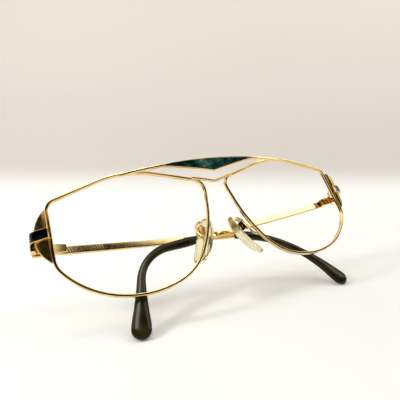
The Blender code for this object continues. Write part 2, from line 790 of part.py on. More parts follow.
def tip_mesh(side):
    start = SLEEVE_START + 1.0 * MM + SEAT_GAP
    length = temple_length(side) - start
    shares = [0, 0.02, 0.05, 0.12, 0.2, 0.28] + [0.32 + 0.04 * k for k in range(14)]
    shares += [0.88, 0.92, 0.95, 0.975, 0.99, 1.0]
    rings = []
    for share in shares:
        height, thick = interpolate(TIP_SIZES, share)
        rings.append(temple_ring(side, start + length * share, height, thick, oval(14, 0.75)))
    tip = loft("tip", rings)
    return cut(tip, core_mesh(side, start - 1.0 * MM, CORE_END, RUN_GAP))


def temple_leaf_mesh():
    """The temple's knuckle and the leaf that is soldered to the bar's inner face."""
    low, high = knuckle_span(0)
    to_temple = temple_turn(0).inverted() @ hinge_place()
    knuckle = moved(rod("knuckle", KNUCKLE_RADIUS, low, high, 20), to_temple)
    outer = TEMPLE_OFFSET - TEMPLE_THICK / 2 - SEAT_GAP
    neck = 0.36 * KNUCKLE_HEIGHT
    shoulder = KNUCKLE_RADIUS + 4 * KNUCKLE_GAP
    rings = []
    for s, bottom, top in ((0.3 * MM, neck, neck), (shoulder, neck, neck),
                           (shoulder + 0.1 * MM, LEAF_BOTTOM, LEAF_TOP),
                           (0.7 * LEAF_LENGTH, LEAF_BOTTOM, 0.5 * LEAF_TOP),
                           (LEAF_LENGTH, 0.9 * LEAF_BOTTOM, 0.0)):
        bow = TEMPLE_OFFSET - min(temple_out(side, s) for side in TEMPLE_BENDS)
        rings.append([(outer - bow + n * LEAF_THICK, s, w)
                      for n, w in ((-1, -bottom), (0, -bottom), (0, top), (-1, top))])
    leaf = fuse(knuckle, loft("leaf", rings))
    inner = outer - LEAF_THICK
    bottom = HEEL_TOP + HEEL_HEIGHT
    heel = block("heel", (inner, -HEEL_BACK, -bottom), (outer, shoulder + 0.9 * MM, -HEEL_TOP))
    riser = block("riser", (inner + 0.1 * MM, shoulder + 0.2 * MM, -HEEL_TOP - 0.1 * MM),
                  (outer - 0.1 * MM, shoulder + 0.8 * MM, 0.3 * MM - LEAF_BOTTOM))
    leaf = fuse(fuse(leaf, heel), riser)
    bore = rod("bore", HINGE_SCREW_RADIUS + RUN_GAP, low - MM, high + MM, 16)
    return cut(leaf, moved(bore, to_temple))


# Nose pads: local X towards the nose, Y across, Z up the pad, with the origin on the pin

def pad_turn(side):
    """From a pad's own frame to the front's frame, drawn as on the left."""
    down = Vector((math.sin(PAD_LEAN_OUT), -math.sin(PAD_LEAN_FORWARD), 0))
    down.z = -math.sqrt(1 - down.length_squared)
    across = -Vector((math.sin(PAD_SPLAY), math.cos(PAD_SPLAY), 0))
    up = -down
    across = (across - up * across.dot(up)).normalized()
    nose = across.cross(up)
    turn = Matrix((nose, across, up)).transposed().to_4x4()
    pivot = Vector(PAD_CENTRE) + up * PAD_PIVOT_RISE - nose * pad_pin_offset()
    return Matrix.Translation(pivot + Vector(PAD_SHIFT[side])) @ turn


def pad_pin_offset():
    """From the pad's middle plane out to the pin."""
    return PAD_THICK / 2 + SEAT_GAP + 3 * RUN_GAP + BOX_HEIGHT / 2


def pad_mesh():
    bm = bmesh.new()
    bmesh.ops.create_uvsphere(bm, u_segments=20, v_segments=12, radius=1.0)
    for vert in bm.verts:
        x, y, z = vert.co
        flat = 0.55 if x < 0 else 1.0
        vert.co = (
            x * flat * PAD_THICK / 2 - PAD_CURVE * z * z,
            y * PAD_WIDTH / 2,
            z * PAD_LENGTH / 2 * (1.0 + 0.04 * y * y),
        )
    pad = moved(mesh_from(bm, "pad"), Matrix.Translation((pad_pin_offset(), 0, -PAD_PIVOT_RISE)))
    half_lug = BOX_WIDTH / 2 - BOX_WALL - 3 * RUN_GAP
    eye = across_rod("eye", LUG_RADIUS, 2 * half_lug)
    stem = block("stem", (0, -half_lug, -0.9 * LUG_RADIUS),
                 (pad_pin_offset(), half_lug, 0.9 * LUG_RADIUS))
    pad = fuse(pad, fuse(eye, stem))
    return cut(pad, across_rod("hole", PAD_PIN_RADIUS + RUN_GAP, BOX_WIDTH))


def across_rod(name, radius, length):
    """A rod along local Y, centred on the pin."""
    return moved(rod(name, radius, -length / 2, length / 2, 14),
                 Matrix.Rotation(math.radians(90), 4, "X"))


def box_mesh():
    """An open box with two cheeks that the pad's pin goes through."""
    half_l, half_w, half_h = BOX_LENGTH / 2, BOX_WIDTH / 2, BOX_HEIGHT / 2
    shell = block("shell", (-half_h - BOX_WALL, -half_w, -half_l), (half_h, half_w, half_l))
    room = block("room", (-half_h, -half_w + BOX_WALL, -half_l + BOX_WALL),
                 (half_h + MM, half_w - BOX_WALL, half_l - BOX_WALL))
    shell = cut(shell, room)
    return cut(shell, across_rod("hole", PAD_PIN_RADIUS + RUN_GAP, 2 * BOX_WIDTH))


def pad_pin_mesh():
    return across_rod("pin", PAD_PIN_RADIUS, BOX_WIDTH + 0.4 * MM)


def pad_arm_mesh(side):
    """A wire that leaves the back of the rim, arches over and comes down on the pad box."""
    place = pad_turn(side)
    top = BOX_LENGTH / 2 + 2 * SEAT_GAP
    ends = [place @ Vector((-0.4 * BOX_HEIGHT, 0, top + rise)) for rise in (MM, 0.4 * MM, 0)]
    stops = []
    for i, point in enumerate(ARM_ROUTE):
        share = min(1.0, 0.5 * i)
        stops.append(Vector(point) + Vector(PAD_SHIFT[side]) * share)
    stops += ends[:2]
    return curve_mesh("pad_arm", smooth_route(stops, 3) + ends[2:], radius=ARM_WIRE, resolution=2)


def smooth_route(stops, pieces):
    """A smooth curve through every stop."""
    padded = [stops[0] * 2 - stops[1]] + stops + [stops[-1] * 2 - stops[-2]]
    route = []
    for a, b, c, d in zip(padded, padded[1:], padded[2:], padded[3:]):
        for k in range(pieces):
            t = k / pieces
            route.append(0.5 * (2 * b + (c - a) * t + (2 * a - 5 * b + 4 * c - d) * t ** 2
                                + (3 * b - a - 3 * c + d) * t ** 3))
    route.append(stops[-1])
    return route


# Assembly

def add_empty(name, matrix, parent):
    empty = bpy.data.objects.new(name, None)
    empty.empty_display_size = 5 * MM
    PARTS.objects.link(empty)
    empty.parent = parent
    empty.matrix_basis = matrix
    return empty


def mirror_matrix(matrix):
    flip = Matrix.Diagonal((-1, 1, 1, 1))
    return flip @ matrix @ flip


def add_pair(name, make, material, parents):
    """A piece on both sides, each under its own side's parent; the left one is mirrored."""
    for side in ("right", "left"):
        mesh = make(side)
        if side == "right":
            mesh = mirrored(mesh, name)
        add_object(f"{name}_{side}", mesh, material, parents[side])


def same(make):
    """A maker that pays no heed to the side."""
    return lambda side: make()


def build():
    front = add_empty("front_pose", Matrix.Identity(4), None)
    add_object("brow_bar", brow_mesh(), POLISHED_GOLD, front)
    add_object("brow_enamel", enamel_mesh(), TEAL_ENAMEL, front)
    add_object("bridge_bar", bridge_mesh(), POLISHED_GOLD, front)
    fixed = {"right": front, "left": front}
    add_pair("rim", same(rim_mesh), POLISHED_GOLD, fixed)
    add_pair("wing", same(wing_mesh), BRUSHED_GOLD, fixed)
    add_pair("strap", same(strap_mesh), POLISHED_GOLD, fixed)
    add_pair("enamel_band", same(band_mesh), DARK_ENAMEL, fixed)
    add_pair("closing_block_upper", lambda side: closing_block_mesh(1), POLISHED_GOLD, fixed)
    add_pair("closing_block_lower", lambda side: closing_block_mesh(-1), POLISHED_GOLD, fixed)
    add_pair("closing_screw", same(closing_screw_mesh), SCREW_STEEL, fixed)
    add_pair("hinge_front_leaf", same(front_leaf_mesh), POLISHED_GOLD, fixed)
    add_pair("hinge_screw", same(hinge_screw_mesh), SCREW_STEEL, fixed)
    add_pair("pad_arm", pad_arm_mesh, POLISHED_GOLD, fixed)

    temples = {}
    pads = {}
    for side, fold in TEMPLE_FOLD.items():
        turn, pad = temple_turn(fold), pad_turn(side)
        if side == "right":
            turn, pad = mirror_matrix(turn), mirror_matrix(pad)
        temples[side] = add_empty(f"temple_axis_{side}", turn, front)
        pads[side] = add_empty(f"pad_axis_{side}", pad, front)
    add_pair("temple_leaf", same(temple_leaf_mesh), POLISHED_GOLD, temples)
    add_pair("temple_bar", bar_mesh, POLISHED_GOLD, temples)
    add_pair("temple_tip", tip_mesh, OLIVE_ACETATE, temples)
    add_pair("pad_box", same(box_mesh), POLISHED_GOLD, pads)
    add_pair("pad_pin", same(pad_pin_mesh), SCREW_STEEL, pads)
    add_pair("nose_pad", same(pad_mesh), PAD_PLASTIC, pads)
    return front


def tip_points(side):
    tip = bpy.data.objects[f"temple_tip_{side}"]
    return [tip.matrix_world @ vert.co for vert in tip.data.vertices]


def stand_on_tips(front):
    """Lean the front back, roll it until both tips touch the table, and set the table at zero."""
    roll = 0.0
    for _ in range(6):
        front.rotation_euler = (-RECLINE, roll, 0)
        bpy.context.view_layer.update()
        low = {side: min(tip_points(side), key=lambda p: p.z) for side in ("right", "left")}
        rise = low["left"].z - low["right"].z
        roll += math.atan(rise / (low["left"].x - low["right"].x))
    lowest = min(low["left"].z, low["right"].z)
    points = [obj.matrix_world @ vert.co for obj in PARTS.objects
              if obj.type == "MESH" for vert in obj.data.vertices]
    middle_x = (min(p.x for p in points) + max(p.x for p in points)) / 2
    middle_y = (min(p.y for p in points) + max(p.y for p in points)) / 2
    front.location = (-middle_x, -middle_y, -lowest)
    bpy.context.view_layer.update()


stand_on_tips(build())
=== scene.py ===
# %% [markdown]
# # Folded spectacles on a white table
#
# A gold-plated spectacle frame stands folded on its two plastic tips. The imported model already
# holds every rigid piece at its real size. This script gives each piece the curves and the finish
# that the camera sees, and sets up a small white studio. Lengths are in millimetres until they
# reach Blender, which takes metres.

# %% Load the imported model
import json
import math

import bmesh
import bpy
import numpy as np
from mathutils import Matrix, Vector


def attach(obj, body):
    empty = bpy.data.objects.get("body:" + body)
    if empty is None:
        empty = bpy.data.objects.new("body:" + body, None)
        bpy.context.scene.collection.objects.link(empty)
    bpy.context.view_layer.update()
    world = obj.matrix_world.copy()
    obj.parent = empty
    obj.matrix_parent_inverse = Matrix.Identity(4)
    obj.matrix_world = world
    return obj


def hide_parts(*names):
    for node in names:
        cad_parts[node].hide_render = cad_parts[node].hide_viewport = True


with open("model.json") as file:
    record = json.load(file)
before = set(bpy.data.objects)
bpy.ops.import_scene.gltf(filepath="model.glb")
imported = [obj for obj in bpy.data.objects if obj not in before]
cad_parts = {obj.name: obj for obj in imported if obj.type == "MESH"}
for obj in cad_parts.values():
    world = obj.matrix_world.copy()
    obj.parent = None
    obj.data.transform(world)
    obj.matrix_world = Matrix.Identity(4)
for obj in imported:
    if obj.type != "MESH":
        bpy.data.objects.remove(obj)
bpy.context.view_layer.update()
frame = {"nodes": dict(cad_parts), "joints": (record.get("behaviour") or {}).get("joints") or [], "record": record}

# %% [markdown]
# ## Where the front stands
#
# An optician measures a frame in the plane of its front: X across the face, Y back towards the
# wearer, Z up the lenses. The pieces below are drawn that way, on the wearer's left, and mirrored
# for the right. The front itself leans on the table, so its place in the room is needed once. It
# could be typed in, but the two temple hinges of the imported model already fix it: the line
# between them runs across the face, and their pins show which way is up.

# %% Find the frame of the front
MM = 0.001
HINGE = (72.375, 10.9, 5.1)            # middle of the left hinge pin
HINGE_LEAN_IN = math.radians(5.6)      # how far the pin's top leans towards the nose
HINGE_LEAN_BACK = math.radians(5.0)    # and towards the wearer


def find_front():
    """Front's frame in the room: across joins the hinges, up is the mean pin turned upright."""
    joints = {joint["name"]: joint for joint in frame["joints"]}
    left, right = joints["temple_left_hinge"], joints["temple_right_hinge"]
    at_left, at_right = Vector(left["pos_m"]), Vector(right["pos_m"])
    across = (at_left - at_right).normalized()
    pin = (Vector(right["axis"]) - Vector(left["axis"])).normalized()
    up = Matrix.Rotation(HINGE_LEAN_BACK, 3, across) @ pin
    up = (up - across * up.dot(across)).normalized()
    turn = Matrix((across, up.cross(across), up)).transposed()
    place = (at_left + at_right) / 2 - turn @ Vector((0, HINGE[1], HINGE[2])) * MM
    return Matrix.Translation(place) @ turn.to_4x4() @ Matrix.Scale(MM, 4)


FRONT = find_front()
upright = (FRONT.to_3x3() @ Vector((0, 0, 1))).normalized()
print("the front leans", round(math.degrees(math.acos(upright.z)), 1), "degrees from upright")

# %% [markdown]
# ## From the bench to the table
#
# Every piece makes the same short journey: some are turned on their own hinge or pivot, the right
# ones are mirrored, and all lean with the front. Doing this to the points, and not to the
# objects, leaves each object at the origin, where its patterns and its joints expect it.

# %% Carry points into the room
SIDES = ("right", "left")


def to_room(points, side="left", turn=None):
    """Each point is turned by turn, mirrored if it is on the right, then leant with the front."""
    points = np.asarray(points, float)
    if turn is not None:
        turn = np.array(turn)
        points = points @ turn[:3, :3].T + turn[:3, 3]
    if side == "right":
        points = points * (-1, 1, 1)
    lean = np.array(FRONT)
    return points @ lean[:3, :3].T + lean[:3, 3]


print("the front's own origin lands at", (to_room([(0, 0, 0)])[0] / MM).round(1), "mm")

# %% [markdown]
# ## Paths with rounded corners
#
# Nearly everything on a spectacle frame is wire, strip or moulding, which is a profile carried
# along a path. Real bends are arcs, so a path is given as a few corners with a radius each. A
# curve object could draw it too, but arcs keep the sizes that a maker would measure.

# %% Rounded paths


def unit(vectors):
    """Vectors divided by their own length."""
    return vectors / np.linalg.norm(vectors, axis=-1, keepdims=True)


def rounded_path(start, corners, end, step=2.0):
    """Straight runs whose corners (x, y, radius) are arcs, held to 98% of the runs beside them.

    An arc's reach along each run is radius / tan(half the corner), and its centre lies on the
    corner's middle line at radius / sin(half the corner). The loop is over corners, not points.
    """
    stops = np.array([start] + [corner[:2] for corner in corners] + [end], float)
    into, away = unit(stops[:-2] - stops[1:-1]), unit(stops[2:] - stops[1:-1])
    runs = np.linalg.norm(np.diff(stops, axis=0), axis=1) * 0.98
    half = np.arccos(np.clip((into * away).sum(1), -1, 1)) / 2
    reach = np.array([corner[2] for corner in corners]) / np.tan(half)
    for i in range(len(reach) - 1):
        share = min(1.0, runs[i + 1] / (reach[i] + reach[i + 1]))
        reach[i:i + 2] *= share
    reach[0], reach[-1] = min(reach[0], runs[0]), min(reach[-1], runs[-1])
    path = [stops[:1]]
    for stop, u, w, r, h in zip(stops[1:-1], into, away, reach, half):
        centre = stop + unit(u + w) * r / math.cos(h)
        first, last = stop + u * r - centre, stop + w * r - centre
        turn = math.atan2(first[0] * last[1] - first[1] * last[0], first @ last)
        angle = np.linspace(0, turn, max(3, round(abs(math.degrees(turn)) / step)))[:, None]
        square = np.array((-first[1], first[0]))
        path.append(centre + first * np.cos(angle) + square * np.sin(angle))
    return np.concatenate(path + [stops[-1:]])


print("a square corner takes", len(rounded_path((0, 0), ((9, 0, 4),), (9, 9))), "points")

# %% [markdown]
# ## Walking along a path and sweeping a profile
#
# A bender marks a wire by distance along it, so the points are spaced that way too. The profile
# is then carried along: at each station it stands square to the path, with one axis held upright.
# Blender's curve bevel does the same, but it can't change the profile on the way.

# %% Walk and sweep


def run_lengths(path):
    """Distance walked along a path at each of its points."""
    return np.concatenate(([0], np.cumsum(np.linalg.norm(np.diff(path, axis=0), axis=1))))


def walked(path, distances):
    """Points of a path at the given distances along it, on straight lines between its points."""
    run = run_lengths(path)
    return np.stack([np.interp(distances, run, axis) for axis in path.T], axis=1)


def sweep(path, profile, upright):
    """Point = path + u side + v rise, where side = tangent x upright and rise = side x tangent."""
    tangent = unit(np.gradient(path, axis=0))
    side = unit(np.cross(tangent, upright))
    rise = np.cross(side, tangent)
    return path[:, None] + profile[..., :1] * side[:, None] + profile[..., 1:] * rise[:, None]


print("halfway along a 3-4-5 corner:", walked(np.array(((0, 0), (3, 0), (3, 4.0))), [3.5])[0])

# %% [markdown]
# ## From rings to a finished object
#
# A ring is one cross-section. Quads join each ring to the next and a flat cap closes each end,
# so every piece is one closed skin. Each piece then rides on the body of the imported node that it
# stands for, and is listed with that node, whose slot later gives it its finish. A lofting add-on
# would do it, but the grid of rings already says which points are neighbours.

# %% Hand a piece over
PACKED = {part["node"]: part["material_slot"] for part in frame["record"]["subparts"]}
BODIES = {node: body for body, nodes in frame["record"]["behaviour"]["bodies"].items()
          for node in nodes}
made = []


def hand_over(name, mesh, node, angle=35):
    """Shade a mesh smooth below an angle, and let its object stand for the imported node."""
    mesh.shade_smooth()
    mesh.set_sharp_from_angle(angle=math.radians(angle))
    obj = bpy.data.objects.new(name, mesh)
    bpy.context.scene.collection.objects.link(obj)
    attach(obj, BODIES[node])
    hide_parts(node)
    made.append((obj, node))
    return obj


print("finishes on the packed model:", sorted(set(PACKED.values())))

# %% [markdown]
# ### The faces between the rings
#
# The points of all rings lie in one long list, so a quad's corners are sums of row and column
# numbers. They could be counted off in a loop, but numpy gives all of them in one step. The
# normals are worked out at the end, since mirroring turns a right piece inside out.

# %% Skin the rings


def grid_quads(stations, count, closed=True):
    """Corner numbers of the quads on a grid: (i, j), (i, j+1), (i+1, j+1), (i+1, j), where j runs
    round to 0 again if each row is a closed ring."""
    across = np.arange(count if closed else count - 1)
    i, j = np.meshgrid(np.arange(stations - 1), across, indexing="ij")
    a, b = i * count + j, i * count + (j + 1) % count
    return np.stack((a, b, b + count, a + count), axis=-1).reshape(-1, 4).tolist()


def skin(name, rings, node, angle=35):
    """Quads between successive rings, a cap on each end, faces turned outwards."""
    stations, count = rings.shape[:2]
    first = np.arange(count)[::-1].tolist()
    last = np.arange((stations - 1) * count, stations * count).tolist()
    mesh = bpy.data.meshes.new(name)
    mesh.from_pydata(rings.reshape(-1, 3).tolist(), [], grid_quads(stations, count) + [first, last])
    shape = bmesh.new()
    shape.from_mesh(mesh)
    bmesh.ops.recalc_face_normals(shape, faces=shape.faces)
    shape.to_mesh(mesh)
    shape.free()
    return hand_over(name, mesh, node, angle)


print("a tube of 3 rings of 4 points has", len(grid_quads(3, 4)), "quads")

# %% [markdown]
# ## Eye rims
#
# A rim is drawn wire with a groove for the lens, bent to the lens shape and split on its outer
# side, where a closing block holds it. It could be a curve object with a bevel, but the groove
# and the soft edges are easier to place in a profile of our own. The wire follows the bowl of
# the front: it lies further back the further it is from the nose.

# %% Rim path
RIM_HALF_SPAN, RIM_THICK, RIM_DEPTH = 68.2, 0.95, 1.6
BOWL_SIDE, BOWL_TOP, BOWL_HEIGHT = 5.2, 0.4, 25.0
SPLIT_HEIGHT, SPLIT_GAP = 5.0, 0.1
RIM_STEP = 0.4                         # between the rings along the wire
RIM_CORNERS = (                        # across, up, corner radius, from the split over the top
    (RIM_HALF_SPAN, 19.0, 4.0), (37.0, 28.5, 40.0), (4.3, 18.0, 5.5), (8.7, -3.0, 55.0),
    (19.5, -19.5, 23.0), (37.5, -24.0, 37.0), (59.0, -19.0, 34.0), (RIM_HALF_SPAN, -6.0, 9.0),
)


def face_depth(x, z):
    """Depth of the rim's middle: 5.2 mm at the outer side and 0.4 mm at the top, as squares."""
    return BOWL_SIDE * (x / RIM_HALF_SPAN) ** 2 + BOWL_TOP * (z / BOWL_HEIGHT) ** 2


def rim_path():
    """The rounded outline from one side of the split to the other, set back by face_depth."""
    half = SPLIT_GAP / 2
    outline = rounded_path((RIM_HALF_SPAN, SPLIT_HEIGHT + half), RIM_CORNERS,
                           (RIM_HALF_SPAN, SPLIT_HEIGHT - half))
    outline = walked(outline, np.arange(0, run_lengths(outline)[-1], RIM_STEP))
    x, z = outline.T
    return np.stack((x, face_depth(x, z), z), axis=1)


print("one rim takes", round(float(run_lengths(rim_path())[-1]), 1), "mm of wire")

# %% [markdown]
# ### The wire's section
#
# A rim's wire has a groove that the lens clicks into, between two lips. A bevel modifier would
# round every edge alike, so each corner of the profile has a radius of its own. The lips and
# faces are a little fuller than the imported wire's, which gives the wire its full width to the
# eye where the thin lips would vanish against the paper.

# %% Rims
GROOVE_WIDTH, GROOVE_DEPTH = 0.9, 0.4
LIP_REACH, FACE_REACH, BACK_REACH = 0.2, 0.12, 0.03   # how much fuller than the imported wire


def rim_profile():
    """Wire section: well rounded outside, softer lips and a V groove towards the lens."""
    o, t = -RIM_THICK / 2 - BACK_REACH, RIM_THICK / 2 + LIP_REACH
    d, g = RIM_DEPTH / 2 + FACE_REACH, GROOVE_WIDTH / 2
    corners = ((o, -d, 0.5), (t, -d, 0.32), (t, -g, 0.09), (t - GROOVE_DEPTH, 0, 0.1),
               (t, g, 0.09), (t, d, 0.32), (o, d, 0.5))
    return rounded_path((o, 0), corners, (o, 0.001), step=13)


for side in SIDES:
    rings = sweep(rim_path(), rim_profile(), (0, 1, 0))
    skin(f"eye_rim_{side}", to_room(rings, side), f"rim_{side}")
print("rim wire section:", np.ptp(rim_profile(), axis=0).round(2), "mm")

# %% [markdown]
# ## Brow bar
#
# The brow bar is stamped: a thin bar at its ends and a downward triangle in the middle, sunk to
# hold enamel inside a raised border. It could be a flat plate with a pocket cut by a boolean, but
# one profile per station across the face gives the bar, the triangle and the pocket at once, with
# clean edges. Each profile starts from a rectangle with soft corners, which most of the flat
# pieces here share.

# %% Soft rectangles


def soft_box(width, height, radius, across=0, up=0, arc=5):
    """Rectangle outline with round corners, one per station: a corner's centre sits a radius in
    from both sides, and its points go round it. Across and up add points to the flat sides."""
    a = np.linspace(0, math.pi / 2, arc)
    sx, sy, cx, cy = [], [], [], []
    for k, (x, y, count) in enumerate(((1, 1, across), (-1, 1, up), (-1, -1, across), (1, -1, up))):
        flat = np.linspace(1, -1, count + 2)[1:-1]
        turn = k * math.pi / 2
        level = k % 2 == 0
        sx += [np.full(arc, x), flat * x if level else np.full(count, x)]
        sy += [np.full(arc, y), np.full(count, y) if level else flat * y]
        cx += [np.cos(a + turn), np.full(count, 0.0 if level else x)]
        cy += [np.sin(a + turn), np.full(count, y if level else 0.0)]
    sx, sy, cx, cy = (np.concatenate(part) for part in (sx, sy, cx, cy))
    width, height, radius = (np.asarray(v, float)[..., None] for v in (width, height, radius))
    return np.stack((sx * (width / 2 - radius) + radius * cx,
                     sy * (height / 2 - radius) + radius * cy), axis=-1)


print("a soft box has", soft_box(2.0, 1.0, 0.2).shape[0], "points")

# %% [markdown]
# ### The blank's edges
#
# The blank is cut along a nearly straight top edge, a lower edge beside it and the two sides of
# the triangle, and is curved back towards its ends. Written as functions of the distance across
# the face, these edges serve the bar, its pocket and the enamel alike, where a drawn outline
# would have to be traced again for each.

# %% Brow bar outline
BROW_HALF_SPAN, BROW_THICK, BAR_HEIGHT, BROW_BORDER = 40.0, 1.2, 1.0, 0.6
BROW_FRONT, BROW_SWEEP, BROW_DROP = -4.7, 4.6, 1.2     # its middle, and how its ends fall away
POINT_HALF_SPAN, POINT_HEIGHT, TOP_MIDDLE = 21.8, 20.5, 26.9


def brow_edges(x):
    """Front depth, top height and lower height; the triangle's fall is a straight share of x."""
    swept = (x / BROW_HALF_SPAN) ** 2
    top = TOP_MIDDLE - BROW_DROP * swept
    fall = (TOP_MIDDLE - BAR_HEIGHT - POINT_HEIGHT) * np.clip(1 - abs(x) / POINT_HALF_SPAN, 0, 1)
    return BROW_FRONT + BROW_SWEEP * swept, top, top - BAR_HEIGHT - fall


def pocket_edges(x):
    """Top and lower edge of the pocket: the bar's own edges, less a border."""
    _, top, bottom = brow_edges(x)
    return top - BROW_BORDER / 2, bottom + BROW_BORDER


print("the triangle is", round(float(np.subtract(*brow_edges(0.0)[1:])), 1), "mm deep at its point")

# %% [markdown]
# ### The bar with its pocket
#
# The lip of a stamped pocket is soft and its walls lean outwards a little. Insetting a plate's
# face would give a lip of one width with sharp corners. Here six points for the pocket are let
# into the front of each soft box, and draw together where the triangle ends.

# %% Brow bar
POCKET_DEPTH, BROW_EDGE = 0.5, 0.24
BROW_LEAN = 0.08                       # the face looks down a little, by about 4.5 degrees
FINE_HALF_SPAN = 22                    # stations stand closer together over the triangle
LIPS = np.array(((0, 1.0), (0.15, 0.97), (1, 0.95), (1, -0.95), (0.15, -0.97), (0, -1.0)))
POCKET_TURN = 10                       # its points come after the corners at the back and top


def brow_rings():
    """Soft boxes across the face, with the pocket's six points let into the front of each. The
    depth falls by the lean for every millimetre up, and the ends close as the square root of the
    distance left. The pocket deepens from nothing, where it is 0.1 mm high, to full at 0.4 mm."""
    x = np.concatenate((np.linspace(-BROW_HALF_SPAN, -FINE_HALF_SPAN, 40)[:-1],
                        np.linspace(-FINE_HALF_SPAN, FINE_HALF_SPAN, 177),
                        np.linspace(FINE_HALF_SPAN, BROW_HALF_SPAN, 40)[1:]))
    front, top, bottom = brow_edges(x)
    close = np.sqrt(np.clip((BROW_HALF_SPAN + 0.35 - abs(x)) / 0.8, 0.05, 1))
    middle, half = (top + bottom) / 2, (top - bottom) / 2 * close
    box = soft_box(np.full_like(x, BROW_THICK), 2 * half, np.full_like(x, BROW_EDGE))
    y, z = front[:, None] + BROW_THICK / 2 + box[..., 0], middle[:, None] + box[..., 1]
    high, low = pocket_edges(x)
    room = np.clip((high - low - 0.1) / 0.3, 0, 1)
    centre = np.where(room > 0, (high + low) / 2, middle)
    reach = np.maximum((high - low) / 2, 0.1)
    y_in = front[:, None] + POCKET_DEPTH * room[:, None] * LIPS[:, 0]
    z_in = centre[:, None] + reach[:, None] * LIPS[:, 1]
    y_in = y_in - BROW_LEAN * (z_in - middle[:, None])
    y = y - BROW_LEAN * (z - middle[:, None])
    y = np.concatenate((y[:, :POCKET_TURN], y_in, y[:, POCKET_TURN:]), axis=1)
    z = np.concatenate((z[:, :POCKET_TURN], z_in, z[:, POCKET_TURN:]), axis=1)
    return np.stack((np.broadcast_to(x[:, None], y.shape), y, z), axis=-1)


skin("brow_bar_body", to_room(brow_rings()), "brow_bar", 30)
print("brow bar, across x depth x height:", np.ptp(brow_rings(), axis=(0, 1)).round(1), "mm")

# %% [markdown]
# ## Brow enamel
#
# Enamel is laid into the pocket as powdered glass, fired, and polished. It never ends quite flat,
# so its surface is a shallow pillow that catches light along its edges. A flat face would reflect
# one colour only. It is built from the same edges as the pocket, a hair smaller.

# %% Brow enamel
ENAMEL_SHORT, ENAMEL_GAP, ENAMEL_PILLOW, ENAMEL_LOW = 2.05, 0.03, 0.11, 0.02


def enamel_rings():
    """Pillow: its face falls back by the cube of the distance from its middle line."""
    ends = POINT_HALF_SPAN - ENAMEL_SHORT
    x = np.linspace(-ends, ends, 161)
    front = brow_edges(x)[0]
    high, low = pocket_edges(x)
    centre = (high + low) / 2
    half = np.maximum((high - low) / 2 - ENAMEL_GAP, ENAMEL_GAP)
    s = np.linspace(1, -1, 15)
    face = front[:, None] + ENAMEL_LOW + ENAMEL_PILLOW * abs(s) ** 3 - BROW_LEAN * half[:, None] * s
    back = front[:, None] + np.full((len(x), 2), POCKET_DEPTH - 0.02)
    y = np.concatenate((face, back), axis=1)
    z = centre[:, None] + half[:, None] * np.concatenate((s, (-1, 1)))
    return np.stack((np.broadcast_to(x[:, None], y.shape), y, z), axis=-1)


skin("brow_enamel_pillow", to_room(enamel_rings()), "brow_enamel", 50)
print("enamel, across x depth x height:", np.ptp(enamel_rings(), axis=(0, 1)).round(1), "mm")

# %% [markdown]
# ## Bridge wire
#
# The lower bridge is round wire, bent to a shallow V and soldered to the fronts of both rims, a
# little way into them. Solder leaves no gap, so the wire's ends sink into the rims. The ends are
# half round, because a sawn end is filed smooth.

# %% Round wire


def ends_close(length, radius, middle):
    """Distances and scales along a rod whose ends are half round: near an end the distance is
    radius (1 - cos a) while the scale is sin a."""
    a = np.linspace(0.12, math.pi / 2, 7)
    near = radius * (1 - np.cos(a))
    run = np.concatenate((near, np.linspace(radius, length - radius, middle)[1:-1],
                          length - near[::-1]))
    scale = np.concatenate((np.sin(a), np.ones(middle - 2), np.sin(a)[::-1]))
    return run, scale


def round_ring(radius, sides=24):
    """Circle points (r cos a, r sin a), one ring for each radius."""
    a = np.linspace(0, 2 * math.pi, sides, endpoint=False)
    return np.asarray(radius)[..., None, None] * np.stack((np.cos(a), np.sin(a)), axis=1)


def wire(path, radius, middle, upright=(0, 1, 0)):
    """Round wire with half-round ends."""
    run, scale = ends_close(run_lengths(path)[-1], radius, middle)
    return sweep(walked(path, run), round_ring(radius * scale), upright)


print("a wire's first ring has", round(float(ends_close(10, 1, 5)[1][0]), 2), "of its radius")

# %% [markdown]
# ### Bent to meet the rims
#
# The bend is one arc between two straight runs. Its ends could be typed in, but they are read
# from the rims' own outline and depth, so the wire still meets the rims if those are changed.

# %% Bridge
BRIDGE_WIRE, BRIDGE_HALF_SPAN, BRIDGE_DIP, BRIDGE_BEND = 0.65, 10.2, 16.8, 4.0
BRIDGE_FRONT, BRIDGE_SUNK = -1.4, 0.4


def rim_top(x):
    """Height of the rim's upper wire at a distance from the middle of the face."""
    outline = rounded_path((RIM_HALF_SPAN, SPLIT_HEIGHT), RIM_CORNERS, (RIM_HALF_SPAN, 0))
    upper = outline[(outline[:, 1] > 12) & (outline[:, 0] < 60)]
    upper = upper[np.argsort(upper[:, 0])]
    return float(np.interp(x, upper[:, 0], upper[:, 1]))


def bridge_path():
    """A V from rim to rim whose depth goes from its middle to the rims by the square of x."""
    end = rim_top(BRIDGE_HALF_SPAN)
    flat = rounded_path((-BRIDGE_HALF_SPAN, end), ((0, BRIDGE_DIP, BRIDGE_BEND),),
                        (BRIDGE_HALF_SPAN, end))
    flat = walked(flat, np.linspace(0, run_lengths(flat)[-1], 120))
    rest = face_depth(BRIDGE_HALF_SPAN, end) - RIM_DEPTH / 2 - BRIDGE_WIRE + BRIDGE_SUNK
    depth = BRIDGE_FRONT + (rest - BRIDGE_FRONT) * (flat[:, 0] / BRIDGE_HALF_SPAN) ** 2
    return np.stack((flat[:, 0], depth, flat[:, 1]), axis=1)


skin("bridge_wire", to_room(wire(bridge_path(), BRIDGE_WIRE, 90)), "bridge_bar")
print("bridge wire:", round(float(run_lengths(bridge_path())[-1]), 1), "mm long")

